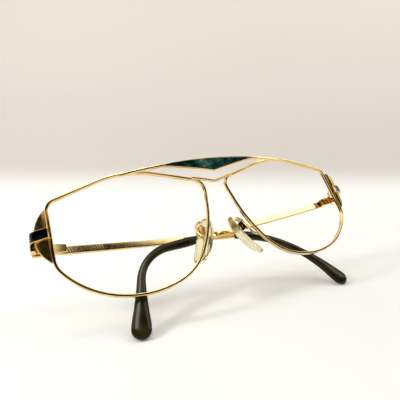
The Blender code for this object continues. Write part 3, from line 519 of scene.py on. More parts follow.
# %% [markdown]
# ## End plates
#
# A crescent of thicker plate fills the corner outside each rim. Its face is rolled over like a
# saddle's: it leans to the nose beside the rim, sweeps back towards the outer edge by the square
# of the distance, and falls back a little at its two ends. So it reflects a different part of the
# room at each place across. It is a soft-edged rectangle at each height, as wide as the crescent
# is there, which gives the roll without any sculpting.

# %% End plates
PLATE_INNER = RIM_HALF_SPAN + RIM_THICK / 2 + 0.05
PLATE_FRONT, PLATE_DISH, PLATE_BULGE, PLATE_THICK = 3.95, 2.0, 4.7, 1.0
PLATE_ROLL, PLATE_CROWN = 0.9, 0.5     # inner edge turned to the nose, and ends swept back
PLATE_TILT, PLATE_EDGE, PLATE_SEAT = 0.06, 0.3, 0.25
PLATE_ENDS = 0.992                     # the rings stop just short of the crescent's points
PLATE_TOP, PLATE_BOTTOM = 16.0, -4.1


def plate_rings():
    """Width at a height is a circle's chord. With t the share of the bulge, the depth is
    front - roll t + (dish + roll) t^2, plus the crown by the square of the height, less a tilt."""
    middle, half = (PLATE_TOP + PLATE_BOTTOM) / 2, (PLATE_TOP - PLATE_BOTTOM) / 2
    radius = (half ** 2 + PLATE_BULGE ** 2) / (2 * PLATE_BULGE)
    z = middle + half * np.sin(np.linspace(-1, 1, 81) * math.pi / 2) * PLATE_ENDS
    width = np.sqrt(radius ** 2 - (z - middle) ** 2) - (radius - PLATE_BULGE) + PLATE_SEAT
    edge = np.minimum(PLATE_EDGE, 0.45 * width)
    box = soft_box(width, np.full_like(z, PLATE_THICK), edge, across=14)
    x = PLATE_INNER + width[:, None] / 2 + box[..., 0]
    t = (x - PLATE_INNER) / PLATE_BULGE
    y = PLATE_FRONT - PLATE_ROLL * t + (PLATE_DISH + PLATE_ROLL) * t ** 2
    y = y + PLATE_CROWN * (((z - middle) / half) ** 2)[:, None] + PLATE_THICK / 2 + box[..., 1]
    y = y - PLATE_TILT * (z - middle)[:, None]
    return np.stack((x, y, np.broadcast_to(z[:, None], x.shape)), axis=-1)


for side in SIDES:
    skin(f"end_plate_{side}", to_room(plate_rings(), side), f"wing_{side}")
print("end plate, across x depth x height:", np.ptp(plate_rings(), axis=(0, 1)).round(1), "mm")

# %% [markdown]
# ## Straps
#
# A strip of plate starts on the end plate, turns the corner and runs back to the hinge. A
# channel milled along its outer face holds the enamel. A boolean cut would leave ragged edges at
# this size, so the channel is part of the profile: its depth is a function of the distance along
# the strip, and it stops short of both ends.

# %% Strap line
STRAP_HEIGHT, STRAP_MIDDLE, STRAP_THICK, STRAP_RADIUS = 4.0, 6.5, 1.0, 3.4
STRAP_START = (PLATE_INNER + 0.2, PLATE_FRONT - 1.5)
STRAP_CORNER = (PLATE_INNER + 6.2, PLATE_FRONT + 1.2)
STRAP_END = (PLATE_INNER + 6.7, PLATE_FRONT + 9.6)
STRAP_LINE = rounded_path(STRAP_START, ((*STRAP_CORNER, STRAP_RADIUS),), STRAP_END)
STRAP_LENGTH = float(run_lengths(STRAP_LINE)[-1])


def strip(distances, profile):
    """A profile swept along the strap's line, which lies level at the strap's middle height."""
    flat = walked(STRAP_LINE, distances)
    path = np.stack((flat[:, 0], flat[:, 1], np.full(len(flat), STRAP_MIDDLE)), axis=1)
    return sweep(path, profile, (0, 0, 1))


print("strap:", round(STRAP_LENGTH, 1), "mm round the corner")

# %% [markdown]
# ### The strip with its channel
#
# The section has eight corners, and only the four of the channel change along the strip: they
# lie on the surface at its ends and at full depth between. The strip's own ends draw in over the
# last tenth of a millimetre, as edges do when they are filed.

# %% Straps
BAND_HEIGHT, BAND_THICK, BAND_INSET, BAND_GAP = 3.4, 0.4, 0.35, 0.04
CHANNEL = 0.9                          # the channel as drawn, before it is set to the band's depth


def strap_outline():
    """Strap section with rounded corners, and which of its points lie in the channel."""
    h, b, t = STRAP_HEIGHT / 2, BAND_HEIGHT / 2 + BAND_GAP, -STRAP_THICK
    corners = ((t, h, 0.2), (0, h, 0.14), (0, b, 0.05), (-CHANNEL, b - 0.03, 0.05),
               (-CHANNEL, -b + 0.03, 0.05), (0, -b, 0.05), (0, -h, 0.14), (t, -h, 0.2))
    outline = rounded_path((t, 0), corners, (t, -0.001), 22)
    return outline, (outline[:, 0] > -CHANNEL - 0.05) & (abs(outline[:, 1]) < b + 0.01)


def strap_rings():
    """The channel's depth climbs in a straight line from nothing, 0.28 mm from each end, to the
    band's, 0.35 mm from it. The last 0.14 mm draw in by the square of the distance."""
    ends = np.array((0, 0.06, 0.14, 0.26, 0.31, 0.35))
    run = np.concatenate((ends, np.linspace(0.45, STRAP_LENGTH - 0.45, 70),
                          STRAP_LENGTH - ends[::-1]))
    to_end = np.minimum(run, STRAP_LENGTH - run)
    sunk = np.clip((to_end - 0.28) / 0.07, 0, 1)
    outline, in_channel = strap_outline()
    profile = np.broadcast_to(outline, (len(run), *outline.shape)).copy()
    floor = outline[in_channel, 0] / CHANNEL * (BAND_THICK + 0.05)
    profile[:, in_channel, 0] = floor * (0.02 + 0.98 * sunk[:, None])
    drawn = 1 - 0.12 * np.clip(1 - to_end / 0.14, 0, 1) ** 2
    profile[..., 1] *= drawn[:, None]
    return strip(run, profile)


for side in SIDES:
    skin(f"end_strap_{side}", to_room(strap_rings(), side), f"strap_{side}", 40)
print("strap, across x depth x height:", np.ptp(strap_rings(), axis=(0, 1)).round(1), "mm")

# %% [markdown]
# ## Strap enamel
#
# The channel is filled with near-black enamel, which leaves a thin gold border above and below.
# Its face is crowned, since liquid glass draws back from its edges, and the crown gives each band
# a soft line of light. It follows the strap's own line, so it bends round the corner with it.

# %% Strap enamel


def band_rings():
    """Enamel bar whose outer face is crowned: it falls by the fourth power towards each edge."""
    ends = np.array((0, 0.04, 0.12))
    length = STRAP_LENGTH - 2 * BAND_INSET
    run = np.concatenate((ends, np.linspace(0.2, length - 0.2, 70), length - ends[::-1]))
    s = np.linspace(1, -1, 13)
    low = 0.06 * np.clip(1 - np.minimum(run, length - run) / 0.12, 0, 1) ** 2
    face = 0.02 - 0.09 * s ** 4 - low[:, None]
    back = np.full((len(run), 2), -BAND_THICK)
    u = np.concatenate((face, back), axis=1)
    v = np.broadcast_to(np.concatenate((s, (-1, 1))) * BAND_HEIGHT / 2, u.shape)
    return strip(run + BAND_INSET, np.stack((u, v), axis=-1))


for side in SIDES:
    skin(f"strap_enamel_{side}", to_room(band_rings(), side), f"enamel_band_{side}", 50)
print("enamel band:", round(STRAP_LENGTH - 2 * BAND_INSET, 1), "mm long")

# %% [markdown]
# ## Temples
#
# Each temple is a flat bar that runs back from its hinge, narrows slightly, and ends in a
# plastic tip that is heated and bent to fit the ear. The two were bent differently, so each has
# its own bend. The bar and the tip share one centre line, and their sections stand square to it.
# The temples' own frame has X out from the head, Y along the temple and Z up its height, which
# keeps the bend in one plane and leaves the fold to one turn about the pin.

# %% The temples' frame
TEMPLE_DROP = math.radians(4.4)        # how far a temple slopes down from its hinge
TEMPLE_FOLD = {"right": math.radians(85.9), "left": math.radians(88.4)}


def temple_turn(side):
    """Turned about the leaning pin by the fold, after the drop about the temple's own X."""
    pin = Vector((-math.tan(HINGE_LEAN_IN), math.tan(HINGE_LEAN_BACK), 1)).normalized()
    drop = Matrix.Rotation(-TEMPLE_DROP, 4, "X")
    return Matrix.Translation(HINGE) @ Matrix.Rotation(TEMPLE_FOLD[side], 4, pin) @ drop


print("folded by", [round(math.degrees(angle), 1) for angle in TEMPLE_FOLD.values()], "degrees")

# %% [markdown]
# ### Centre line
#
# A temple is cranked down behind its hinge, runs straight, and is bent down over a warm former,
# so its bend is part of a circle. The tip also curves in towards the head. The line is written as
# a function of the distance along it, because every size of a temple is measured that way; a
# drawn curve would have to be measured afterwards.

# %% The temples' centre line
TEMPLE_OFFSET, TEMPLE_THICK, CRANK_DROP, CRANK_LENGTH = 1.6, 1.3, 1.7, 9.0
TEMPLE_BENDS = {       # start of the bend, its radius, its angle, straight end, curve inwards
    "right": (79.1, 50.9, math.radians(58.9), 8.9, 7.8),
    "left": (97.5, 17.3, math.radians(69.2), 21.8, 7.8),
}


def temple_length(side):
    """Straight run, plus the arc's radius times its angle, plus the straight end."""
    start, radius, angle, hook, _ = TEMPLE_BENDS[side]
    return start + radius * angle + hook


def temple_line(side, s):
    """Out, along, up and heading at a distance: a cosine crank down, a straight run, a circular
    arc, a straight end, and a curve inwards by the square of the distance."""
    start, radius, angle, _, bow = TEMPLE_BENDS[side]
    crank = np.clip(s / CRANK_LENGTH, 0, 1) * math.pi
    turned = np.clip((s - start) / radius, 0, angle)
    rest = np.maximum(0, s - start - radius * angle)
    along = np.minimum(s, start) + radius * np.sin(turned) + rest * np.cos(turned)
    up = -CRANK_DROP * (0.5 - 0.5 * np.cos(crank)) - radius * (1 - np.cos(turned))
    up = up - rest * np.sin(turned)
    slope = CRANK_DROP * 0.5 * math.pi / CRANK_LENGTH * np.sin(crank)
    out = TEMPLE_OFFSET - bow * (s / temple_length(side)) ** 2
    return out, along, up, -np.arctan(slope) - turned


def temple_rings(side, s, profile):
    """A section's first axis points out from the head and its second up the temple's height."""
    out, along, up, heading = (v[:, None] for v in temple_line(side, s))
    return np.stack((out + profile[..., 0], along - profile[..., 1] * np.sin(heading),
                     up + profile[..., 1] * np.cos(heading)), axis=-1)


for side in SIDES:
    print("temple", side, "is", round(temple_length(side), 1), "mm along its centre line")

# %% [markdown]
# ### Bars
#
# The bars are flat wire, 1.3 mm thick, rolled narrower towards the tip. A taper in straight
# steps would show a kink at each, so a smooth curve goes through a few heights along the bar.

# %% A smooth curve through a table


def through(table, shares):
    """A smooth curve through a table's rows (share, value, ...), whose slope at a row is the
    mean of its neighbours' slopes: the cubic that meets both values and both slopes."""
    table = np.asarray(table, float)
    at, values = table[:, 0], table[:, 1:]
    slope = np.gradient(values, at, axis=0)
    i = np.clip(np.searchsorted(at, shares, side="right") - 1, 0, len(at) - 2)
    step = (at[i + 1] - at[i])[:, None]
    t = (np.asarray(shares) - at[i])[:, None] / step
    return ((2 * t ** 3 - 3 * t ** 2 + 1) * values[i] + (t ** 3 - 2 * t ** 2 + t) * step * slope[i]
            + (3 * t ** 2 - 2 * t ** 3) * values[i + 1] + (t ** 3 - t ** 2) * step * slope[i + 1])


BAR_HEIGHTS = ((0, 3.4), (0.25, 3.2), (0.5, 2.9), (0.75, 2.6), (1, 2.6))   # share, height
print("bar height a third of the way:", round(float(through(BAR_HEIGHTS, [1 / 3])[0, 0]), 2), "mm")

# %% [markdown]
# ### Cuts on the right bar
#
# The right bar's inner face carries fine slanting cuts near the hinge, which hold light
# differently from the mirror finish further along. A bump in the material would give them no
# depth at the edges, so they are real grooves: waves across the face, 1 mm apart, which is
# coarser than an engraver's cut so that they still show. Inside the tip, only a narrow core of
# the bar goes on.

# %% Bars
SLEEVE = 82.0                          # where the plastic starts
CORE_HEIGHT, CORE_THICK, CORE_END = 1.9, 1.0, 92.9
BAR_EDGE = 0.26
CUT_PITCH, CUT_DEPTH, CUT_SLANT = 1.0, 0.007, -0.4
CUT_SPAN = {"right": (8.0, 24.0), "left": None}        # distances from the hinge


def cuts(side, s, box):
    """Depth of the cuts: the full depth times (1 + sine) / 2, where the sine runs along the bar
    and slants with the height. It holds on the inner face and fades out at both ends."""
    first, last = CUT_SPAN[side]
    fade = np.clip(np.minimum(s - first, last - s) / 0.8, 0, 1)[:, None]
    wave = np.sin(2 * math.pi * (s[:, None] - CUT_SLANT * box[..., 1]) / CUT_PITCH)
    inner = np.clip((-box[..., 0] - 0.45) / 0.18, 0, 1) * fade
    return inner * CUT_DEPTH * (0.5 + 0.5 * wave)


def bar_rings(side):
    """Soft boxes along the centre line, close together where the cuts are."""
    start = STRAP_END[1] - HINGE[1] + 0.15
    fine = np.arange(7.0, 25.0, 0.11) if CUT_SPAN[side] else np.linspace(7, 24.9, 40)
    s = np.concatenate((start + np.array((0, 0.04, 0.12, 0.25)), np.linspace(start + 0.5, 6.9, 12),
                        fine, np.linspace(25.2, 81.9, 90), np.linspace(SLEEVE, CORE_END, 10)))
    share = np.clip((s - start) / (SLEEVE - start), 0, 1)
    height = np.where(s > SLEEVE, CORE_HEIGHT, through(BAR_HEIGHTS, share)[:, 0])
    thick = np.where(s > SLEEVE, CORE_THICK, TEMPLE_THICK)
    ease = 1 - 0.10 * np.clip(1 - (s - start) / 0.25, 0, 1) ** 2
    box = soft_box(thick * ease, height * ease, np.full_like(s, BAR_EDGE), up=22)
    if CUT_SPAN[side]:
        box[..., 0] += cuts(side, s, box)
    return temple_rings(side, s, box)


for side in SIDES:
    skin(f"bar_{side}", to_room(bar_rings(side), side, temple_turn(side)), f"temple_bar_{side}")
print("cuts on the right bar:", round(np.ptp(CUT_SPAN["right"]) / CUT_PITCH))

# %% [markdown]
# ### Plastic tips
#
# The tips are moulded round a pillowed section, a superellipse, and swell to a paddle at the
# end. Subdividing a rough cage would give such a shape as well, but then its sizes would only be
# near the real ones. A table of heights and thicknesses along the tip says how it swells, and the
# last few millimetres close as an ellipse does.

# %% Tips
TIP_SIZES = (                          # share of the length, height, thickness
    (0.0, 3.0, 2.0), (0.04, 3.5, 2.6), (0.3, 3.4, 2.7), (0.5, 3.1, 2.8), (0.64, 3.5, 2.8),
    (0.8, 5.2, 2.9), (0.92, 7.0, 2.9), (1.0, 7.1, 2.9),
)
TIP_CLOSE, TIP_FULLNESS = 3.6, 0.72


def superellipse(count, power):
    """x = cos a, y = sin a, each drawn out to a power below 1, which fills the corners."""
    a = 2 * math.pi * (np.arange(count) + 0.5) / count
    c, s = np.cos(a), np.sin(a)
    return np.stack((np.sign(c) * abs(c) ** power, np.sign(s) * abs(s) ** power), axis=1)


def tip_rings(side):
    """Superellipses along the centre line, sized by the table. Over the last 3.6 mm the scale is
    the square root of 1 - (distance / 3.6)^2, and the sleeve's lip is drawn in a little."""
    start = SLEEVE + 0.05
    length = temple_length(side) - start
    close = TIP_CLOSE / length
    a = np.linspace(0, math.pi / 2 - 0.06, 18)[1:]
    share = np.concatenate((np.array((0, 0.003, 0.008, 0.015)), np.linspace(0.025, 0.93, 110),
                            np.linspace(0.93, 1 - close, 6)[1:], 1 - close + close * np.sin(a)))
    size = through(TIP_SIZES, np.minimum(share, 1))
    shut = np.sqrt(np.clip(1 - (np.maximum(share - (1 - close), 0) / close) ** 2, 0, 1))
    lip = 1 - 0.12 * np.clip(1 - share / 0.008, 0, 1) ** 2
    size = size * (shut * lip)[:, None]
    profile = superellipse(40, TIP_FULLNESS)[None] * size[:, None, ::-1] / 2
    return temple_rings(side, start + length * share, profile)


for side in SIDES:
    skin(f"plastic_tip_{side}", to_room(tip_rings(side), side, temple_turn(side)),
         f"temple_tip_{side}")
    print("tip", side, "is", round(temple_length(side) - SLEEVE, 1), "mm long")

# %% [markdown]
# ## Where the nose pads sit
#
# A pad rocks on a pin in a small gold box, and leans to lie flat against the side of the nose. It
# is easiest to draw upright, so it has a frame of its own: X towards the nose, Y across, Z up the
# pad, and its origin on the pin. The wearer bent the two arms differently, so each pad is shifted.

# %% The pads' frame
PAD_CENTRE = np.array((10.0, 5.2, -7.3))
PAD_SHIFT = {"right": np.array((1.1, 0, 0.1)), "left": np.array((-2.0, 0, -0.8))}
PAD_LENGTH, PAD_WIDTH, PAD_THICK, PAD_CURVE = 20.6, 9.2, 3.0, 1.3
PAD_LEAN_OUT, PAD_LEAN_FORWARD, PAD_SPLAY = (math.radians(v) for v in (27, 3, 29))
PIVOT_RISE, BOX_HEIGHT, BOX_LENGTH, ARM_WIRE = 3.6, 1.6, 3.8, 0.5
PIN_OFFSET = PAD_THICK / 2 + 0.2 + BOX_HEIGHT / 2


def pad_turn(side):
    """The pad's axes in the front's frame: down is the two leans, across is the splay made square
    to it, nose is their cross product. The pin lies above the centre and behind the pad."""
    down = np.array((math.sin(PAD_LEAN_OUT), -math.sin(PAD_LEAN_FORWARD), 0))
    down[2] = -math.sqrt(1 - down @ down)
    up = -down
    across = -np.array((math.sin(PAD_SPLAY), math.cos(PAD_SPLAY), 0))
    across = unit(across - up * (across @ up))
    nose = np.cross(across, up)
    turn = np.eye(4)
    turn[:3, :3] = np.stack((nose, across, up), axis=1)
    turn[:3, 3] = PAD_CENTRE + PAD_SHIFT[side] + up * PIVOT_RISE - nose * PIN_OFFSET
    return turn


print("left pad's pin:", pad_turn("left")[:3, 3].round(1), "mm in the front's frame")

# %% [markdown]
# ## Pads
#
# A pad is a soft, clear moulding with a full face towards the nose and a flatter back, and its
# ends are blunt. Rings stacked up its height give that directly. A squashed sphere would be too
# pointed at the ends and too thin along the sides.

# %% Pads
PAD_BACK, PAD_FACE = 0.65, 1.5         # share of half the thickness, behind and in front


def pad_rings():
    """Rings up the pad. The half width is (1 - z^3.2) to the power 0.45, which makes blunt ends,
    and each ring is a superellipse, fuller towards the nose than at the back. The middle line
    bows away from the nose by the square of the height."""
    a = np.linspace(-math.pi / 2, math.pi / 2, 81)[1:-1]
    z = np.sin(a)
    wide = (1 - abs(z) ** 3.2) ** 0.45
    section = superellipse(72, 0.86)
    x, y = section[:, 0], section[:, 1]
    deep = np.where(x < 0, PAD_BACK, PAD_FACE) * PAD_THICK / 2
    px = wide[:, None] ** 0.6 * x * deep - PAD_CURVE * z[:, None] ** 2
    py = wide[:, None] * y * PAD_WIDTH / 2
    pz = np.broadcast_to(z[:, None] * PAD_LENGTH / 2, px.shape)
    return np.stack((px + PIN_OFFSET, py, pz - PIVOT_RISE), axis=-1)


print("pad, thick x wide x long:", np.ptp(pad_rings(), axis=(0, 1)).round(1), "mm")

# %% [markdown]
# ### Lugs
#
# A small post on the pad's back, the lug, reaches into the box and turns on its pin. It is
# moulded in one with the pad. Soft boxes of changing size along a straight line make it, since
# each of its widths is known, and its foot is sunk into the pad.

# %% Pad lugs
# Distances from the pad's back to the pin, and the lug's height and width at each.
LUG_RUN = (-0.7, -0.66, -0.5, -0.2, 0.2, 0.6, 1.0, PIN_OFFSET - 0.4)
LUG_TALL = (0.1, 0.45, 1.0, 1.36, 1.36, 1.26, 1.26, 1.5)
LUG_WIDE = (2.2, 2.1, 2.1, 2.1, 2.1, 2.1, 2.1, 2.3)


def lug_rings():
    """A rounded post from the pad's back to the pin, drawn out to a bead round the pin."""
    run, tall, wide = (np.array(row) for row in (LUG_RUN, LUG_TALL, LUG_WIDE))
    box = soft_box(wide, tall, np.full_like(run, 0.04), arc=4)
    along = np.broadcast_to(run[:, None], box.shape[:2])
    return np.stack((along, box[..., 0], box[..., 1]), axis=-1)


for side in SIDES:
    skin(f"pad_{side}", to_room(pad_rings(), side, pad_turn(side)), f"nose_pad_{side}")
    skin(f"pad_lug_{side}", to_room(lug_rings(), side, pad_turn(side)), f"nose_pad_{side}")
print("lug:", round(float(np.ptp(lug_rings()[..., 0])), 1), "mm from the pad's back to the pin")

# %% [markdown]
# ## Pad arms
#
# An arm is soft wire, soldered to the back of the rim, that loops up and over to the box so that
# the optician can bend it. The loop is drawn through a few stops, as the pliers make it, and the
# last stops stand above the box, so the wire enters it straight.

# %% Pad arms
ARM_STOPS = ((12.9, 1.65, -9.5), (11.9, 1.65, -7.8), (12.2, 2.0, -5.7), (12.5, 3.2, -3.0),
             (11.8, 4.2, -0.7), (10.3, 4.9, 1.1), (9.3, 5.0, 1.3), (8.8, 4.8, 0.5))


def arm_route(side):
    """Stops from the back of the rim, up, over and down to the box, with a smooth curve
    through them. Each is shifted with its pad, the first not at all and the second by half."""
    stops = np.array(ARM_STOPS)
    stops = stops + PAD_SHIFT[side] * np.minimum(1, 0.5 * np.arange(len(stops)))[:, None]
    rise = BOX_LENGTH / 2 + 0.1 + np.array((1.0, 0.4, 0.0))
    ends = np.stack((np.full(3, -0.4 * BOX_HEIGHT), np.zeros(3), rise), axis=1)
    turn = pad_turn(side)
    ends = ends @ turn[:3, :3].T + turn[:3, 3]
    stops = np.concatenate((stops, ends[:2]))
    table = np.column_stack((np.arange(len(stops)), stops))
    route = through(table, np.linspace(0, len(stops) - 1, 90))
    return np.concatenate((route, ends[2:]))


for side in SIDES:
    skin(f"pad_wire_{side}", to_room(wire(arm_route(side), ARM_WIRE, 70, (0.3, 1, 0.2)), side),
         f"pad_arm_{side}")
    print("arm", side, "takes", round(float(run_lengths(arm_route(side))[-1]), 1), "mm of wire")

# %% [markdown]
# ## Small machined pieces
#
# Hinge leaves, pad boxes and screws are turned and milled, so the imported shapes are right. Only
# their edges need breaking: no machined edge is perfectly sharp, and the thin bright line along
# it is what makes metal look solid. A bevel on a merged copy does that, and leaves the packed
# mesh as it is.

# %% Break the edges


def softened(name, node, width):
    """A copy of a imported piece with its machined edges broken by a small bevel."""
    shape = bmesh.new()
    shape.from_mesh(frame["nodes"][node].data)
    bmesh.ops.remove_doubles(shape, verts=shape.verts, dist=0.002 * MM)
    bmesh.ops.dissolve_limit(shape, angle_limit=math.radians(1), verts=shape.verts,
                             edges=shape.edges)
    mesh = bpy.data.meshes.new(name)
    shape.to_mesh(mesh)
    shape.free()
    obj = hand_over(name, mesh, node, 25)
    bevel = obj.modifiers.new("broken_edges", "BEVEL")
    bevel.width, bevel.segments, bevel.limit_method = width * MM, 2, "ANGLE"
    bevel.angle_limit = math.radians(40)
    bevel.harden_normals = True
    return obj


BROKEN = (("hinge_front_leaf", 0.12), ("temple_leaf", 0.12), ("pad_box", 0.1),
          ("hinge_screw", 0.06), ("pad_pin", 0.06), ("closing_screw", 0.06),
          ("closing_block_upper", 0.12), ("closing_block_lower", 0.12))
for side in SIDES:
    for name, width in BROKEN:
        softened(f"{name}_{side}_eased", f"{name}_{side}", width)
print("pieces made:", len(made))

# %% [markdown]
# ## Materials
#
# Each finish starts from what the real one is. One function turns a written colour into the
# linear value that a shader wants, one adds a node, and one starts a material. Patterns read
# Object coordinates counted in millimetres, so a noise of scale s has lumps of about 1 / s mm.

# %% Colour and node helpers


def linear(code):
    """sRGB to linear: below 0.04045 divide by 12.92, above it ((c + 0.055) / 1.055) ^ 2.4."""
    c = np.array([int(code[i:i + 2], 16) / 255 for i in (1, 3, 5)])
    return (*np.where(c <= 0.04045, c / 12.92, ((c + 0.055) / 1.055) ** 2.4).tolist(), 1.0)


def add(tree, kind, settings=None, **inputs):
    """One node. Settings are its own properties, inputs are values or other nodes' outputs."""
    node = tree.nodes.new("ShaderNode" + kind)
    for key, value in (settings or {}).items():
        if key == "stops":
            elements = node.color_ramp.elements
            while len(elements) < len(value):
                elements.new(1.0)
            for element, (place, tone) in zip(elements, value):
                element.position = place
                element.color = linear(tone) if isinstance(tone, str) else (tone, tone, tone, 1)
        else:
            setattr(node, key, value)
    for key, value in inputs.items():
        socket = node.inputs[int(key[1:]) if key[1:].isdigit() else key.replace("_", " ")]
        if isinstance(value, bpy.types.NodeSocket):
            tree.links.new(value, socket)
        else:
            socket.default_value = value
    return node


print("mid grey #808080 is", round(linear("#808080")[0], 3), "in linear light")

# %% [markdown]
# ### Starting and dressing a material
#
# Every finish here is one Principled shader. What is the same all over stays a number on its
# socket, and only what changes across the surface is linked. A group of nodes could hold what
# the finishes share, but each is short enough to be read on its own.

# %% Start a material
PER_MM = (1000, 1000, 1000)            # turns metres into pattern units of one millimetre


def finish(name, **values):
    """A new Principled material with the values that are the same all over it."""
    material = bpy.data.materials.new(name)
    material.use_nodes = True
    sockets = material.node_tree.nodes["Principled BSDF"].inputs
    for key, value in values.items():
        sockets[key.replace("_", " ")].default_value = value
    return material, material.node_tree


def dress(material, **outputs):
    """Link what changes across the surface to the shader's sockets of the same names."""
    tree = material.node_tree
    sockets = tree.nodes["Principled BSDF"].inputs
    for key, output in outputs.items():
        tree.links.new(output, sockets[key.replace("_", " ")])
    print(material.name, "has", len(tree.nodes), "nodes")


print("finishes to make:", len(set(PACKED.values())))

# %% [markdown]
# ### Gold plate
#
# A few microns of gold over polished nickel silver. Gold reflects red and green strongly and
# blue weakly, so it tints everything it mirrors. Handling leaves faint haze, which shows as
# small changes in roughness, and the drawn wire keeps a slight waviness. Two noises are enough:
# clouds 3 mm across for the tint, and patches of half a millimetre for haze and waviness.

# %% Polished gold plate
polished_gold, tree = finish("polished_gold_plate", Metallic=1.0)
metres = add(tree, "TexCoord").outputs["Object"]
place = add(tree, "Mapping", Vector=metres, Scale=PER_MM).outputs["Vector"]
cloud = add(tree, "TexNoise", Vector=place, Scale=0.3, Detail=4.0).outputs["Fac"]
haze = add(tree, "TexNoise", Vector=place, Scale=2.2, Detail=5.0).outputs["Fac"]
tint = add(tree, "ValToRGB", {"stops": ((0.3, "#E2C182"), (0.7, "#EFD69F"))}, Fac=cloud)
rough = add(tree, "ValToRGB", {"stops": ((0.35, 0.04), (0.75, 0.10))}, Fac=haze)
wave = add(tree, "Bump", Height=haze, Strength=0.25, Distance=0.004 * MM)
dress(polished_gold, Base_Color=tint.outputs["Color"], Roughness=rough.outputs["Color"],
      Normal=wave.outputs["Normal"])

# %% [markdown]
# ### Brushed gold plate
#
# The end plates are brushed up and down before plating. The brush leaves fine scratches, which
# spread a reflection across them. A noise squeezed across the brush and stretched along it gives
# both the bump and the changes in roughness. Its scratches are 0.14 mm apart and 3 mm long, which
# is coarser than a real brush leaves, so that they still show.

# %% Brushed gold plate
BRUSHED = (7000, 300, 300)             # 7 scratches to a millimetre across, 0.3 along
brushed_gold, tree = finish("brushed_gold_plate", Metallic=1.0)
metres = add(tree, "TexCoord").outputs["Object"]
place = add(tree, "Mapping", Vector=metres, Scale=BRUSHED).outputs["Vector"]
grain = add(tree, "TexNoise", Vector=place, Scale=1.0, Detail=6.0).outputs["Fac"]
tint = add(tree, "ValToRGB", {"stops": ((0.3, "#D2A552"), (0.7, "#E5BC70"))}, Fac=grain)
rough = add(tree, "ValToRGB", {"stops": ((0.3, 0.18), (0.8, 0.28))}, Fac=grain)
lines = add(tree, "Bump", Height=grain, Strength=0.2, Distance=0.006 * MM)
dress(brushed_gold, Base_Color=tint.outputs["Color"], Roughness=rough.outputs["Color"],
      Normal=lines.outputs["Normal"])

# %% [markdown]
# ### Marbled teal enamel
#
# Enamel is coloured glass, so it has a hard, clear gloss over a body with soft clouds. The brow
# enamel is marbled teal, from almost black to a greyed green, and palest in the middle of the
# brow. One noise bends the place that a second one reads by up to 2.2 mm, which draws its lumps
# of 3 mm into veins. The gloss is sharp and low in strength, so the colour stays deep.

# %% Veins
MARBLED = (800, 1000, 1300)            # veins run a little longer across the face than up it
teal_enamel, tree = finish("marbled_teal_enamel", Roughness=0.1, Specular_IOR_Level=0.4)
metres = add(tree, "TexCoord").outputs["Object"]
place = add(tree, "Mapping", Vector=metres, Scale=MARBLED).outputs["Vector"]
bend = add(tree, "TexNoise", Vector=place, Scale=0.35, Detail=2.0).outputs["Color"]
pushed = add(tree, "VectorMath", {"operation": "MULTIPLY_ADD"}, _0=bend, _1=(2.2, 2.2, 2.2),
             _2=place).outputs[0]
veins = add(tree, "TexNoise", Vector=pushed, Scale=0.36, Detail=8.0, Roughness=0.6).outputs["Fac"]
print("veins:", len(tree.nodes), "nodes so far")

# %% [markdown]
# #### Palest in the middle
#
# The real marbling is palest near the middle of the brow. That could be painted on, but a soft
# step in the distance across the face, added to the veins before they take their colour, makes
# them paler there and leaves their shapes alone.

# %% Paler middle
across = add(tree, "SeparateXYZ", Vector=place).outputs["X"]
shifted = add(tree, "Math", _0=across, _1=2.0).outputs[0]
aside = add(tree, "Math", {"operation": "ABSOLUTE"}, _0=shifted).outputs[0]
middle = add(tree, "MapRange", {"interpolation_type": "SMOOTHSTEP"}, Value=aside, From_Min=1.0,
             From_Max=13.0, To_Min=0.09, To_Max=-0.10).outputs["Result"]
paler = add(tree, "Math", _0=veins, _1=middle).outputs[0]
TEALS = ((0.30, "#010706"), (0.44, "#062A26"), (0.54, "#124A43"), (0.66, "#3A6660"),
         (0.80, "#8CA69E"))
tint = add(tree, "ValToRGB", {"stops": TEALS}, Fac=paler)
dress(teal_enamel, Base_Color=tint.outputs["Color"])

# %% [markdown]
# ### Black-green enamel
#
# The bands are nearly black, with a trace of the same green in clouds 3 mm across. Black glass
# shows little but its gloss, so two close colours are enough.

# %% Black-green enamel
dark_enamel, tree = finish("black_green_enamel", Roughness=0.08, Specular_IOR_Level=0.4)
metres = add(tree, "TexCoord").outputs["Object"]
place = add(tree, "Mapping", Vector=metres, Scale=PER_MM).outputs["Vector"]
cloud = add(tree, "TexNoise", Vector=place, Scale=0.35, Detail=6.0).outputs["Fac"]
tint = add(tree, "ValToRGB", {"stops": ((0.45, "#010202"), (0.7, "#04201C"))}, Fac=cloud)
dress(dark_enamel, Base_Color=tint.outputs["Color"])

# %% [markdown]
# ### Acetate tips
#
# The tips are polished cellulose acetate in a very dark olive brown. Sheet acetate is never one
# even colour, and a worn tip is a little hazy, so the colour wanders in clouds of 7 mm and the
# gloss in patches under a millimetre. The gloss is kept low in strength, because a very dark
# plastic shows every bit of white that it mirrors.

# %% Dark olive acetate
acetate, tree = finish("dark_olive_acetate", Specular_IOR_Level=0.2)
metres = add(tree, "TexCoord").outputs["Object"]
place = add(tree, "Mapping", Vector=metres, Scale=PER_MM).outputs["Vector"]
cloud = add(tree, "TexNoise", Vector=place, Scale=0.14, Detail=4.0).outputs["Fac"]
wear = add(tree, "TexNoise", Vector=place, Scale=1.4, Detail=6.0).outputs["Fac"]
tint = add(tree, "ValToRGB", {"stops": ((0.35, "#1D1A0A"), (0.7, "#3B3518"))}, Fac=cloud)
rough = add(tree, "ValToRGB", {"stops": ((0.35, 0.05), (0.8, 0.12))}, Fac=wear)
dents = add(tree, "Bump", Height=wear, Strength=0.2, Distance=0.01 * MM)
dress(acetate, Base_Color=tint.outputs["Color"], Roughness=rough.outputs["Color"],
      Normal=dents.outputs["Normal"])

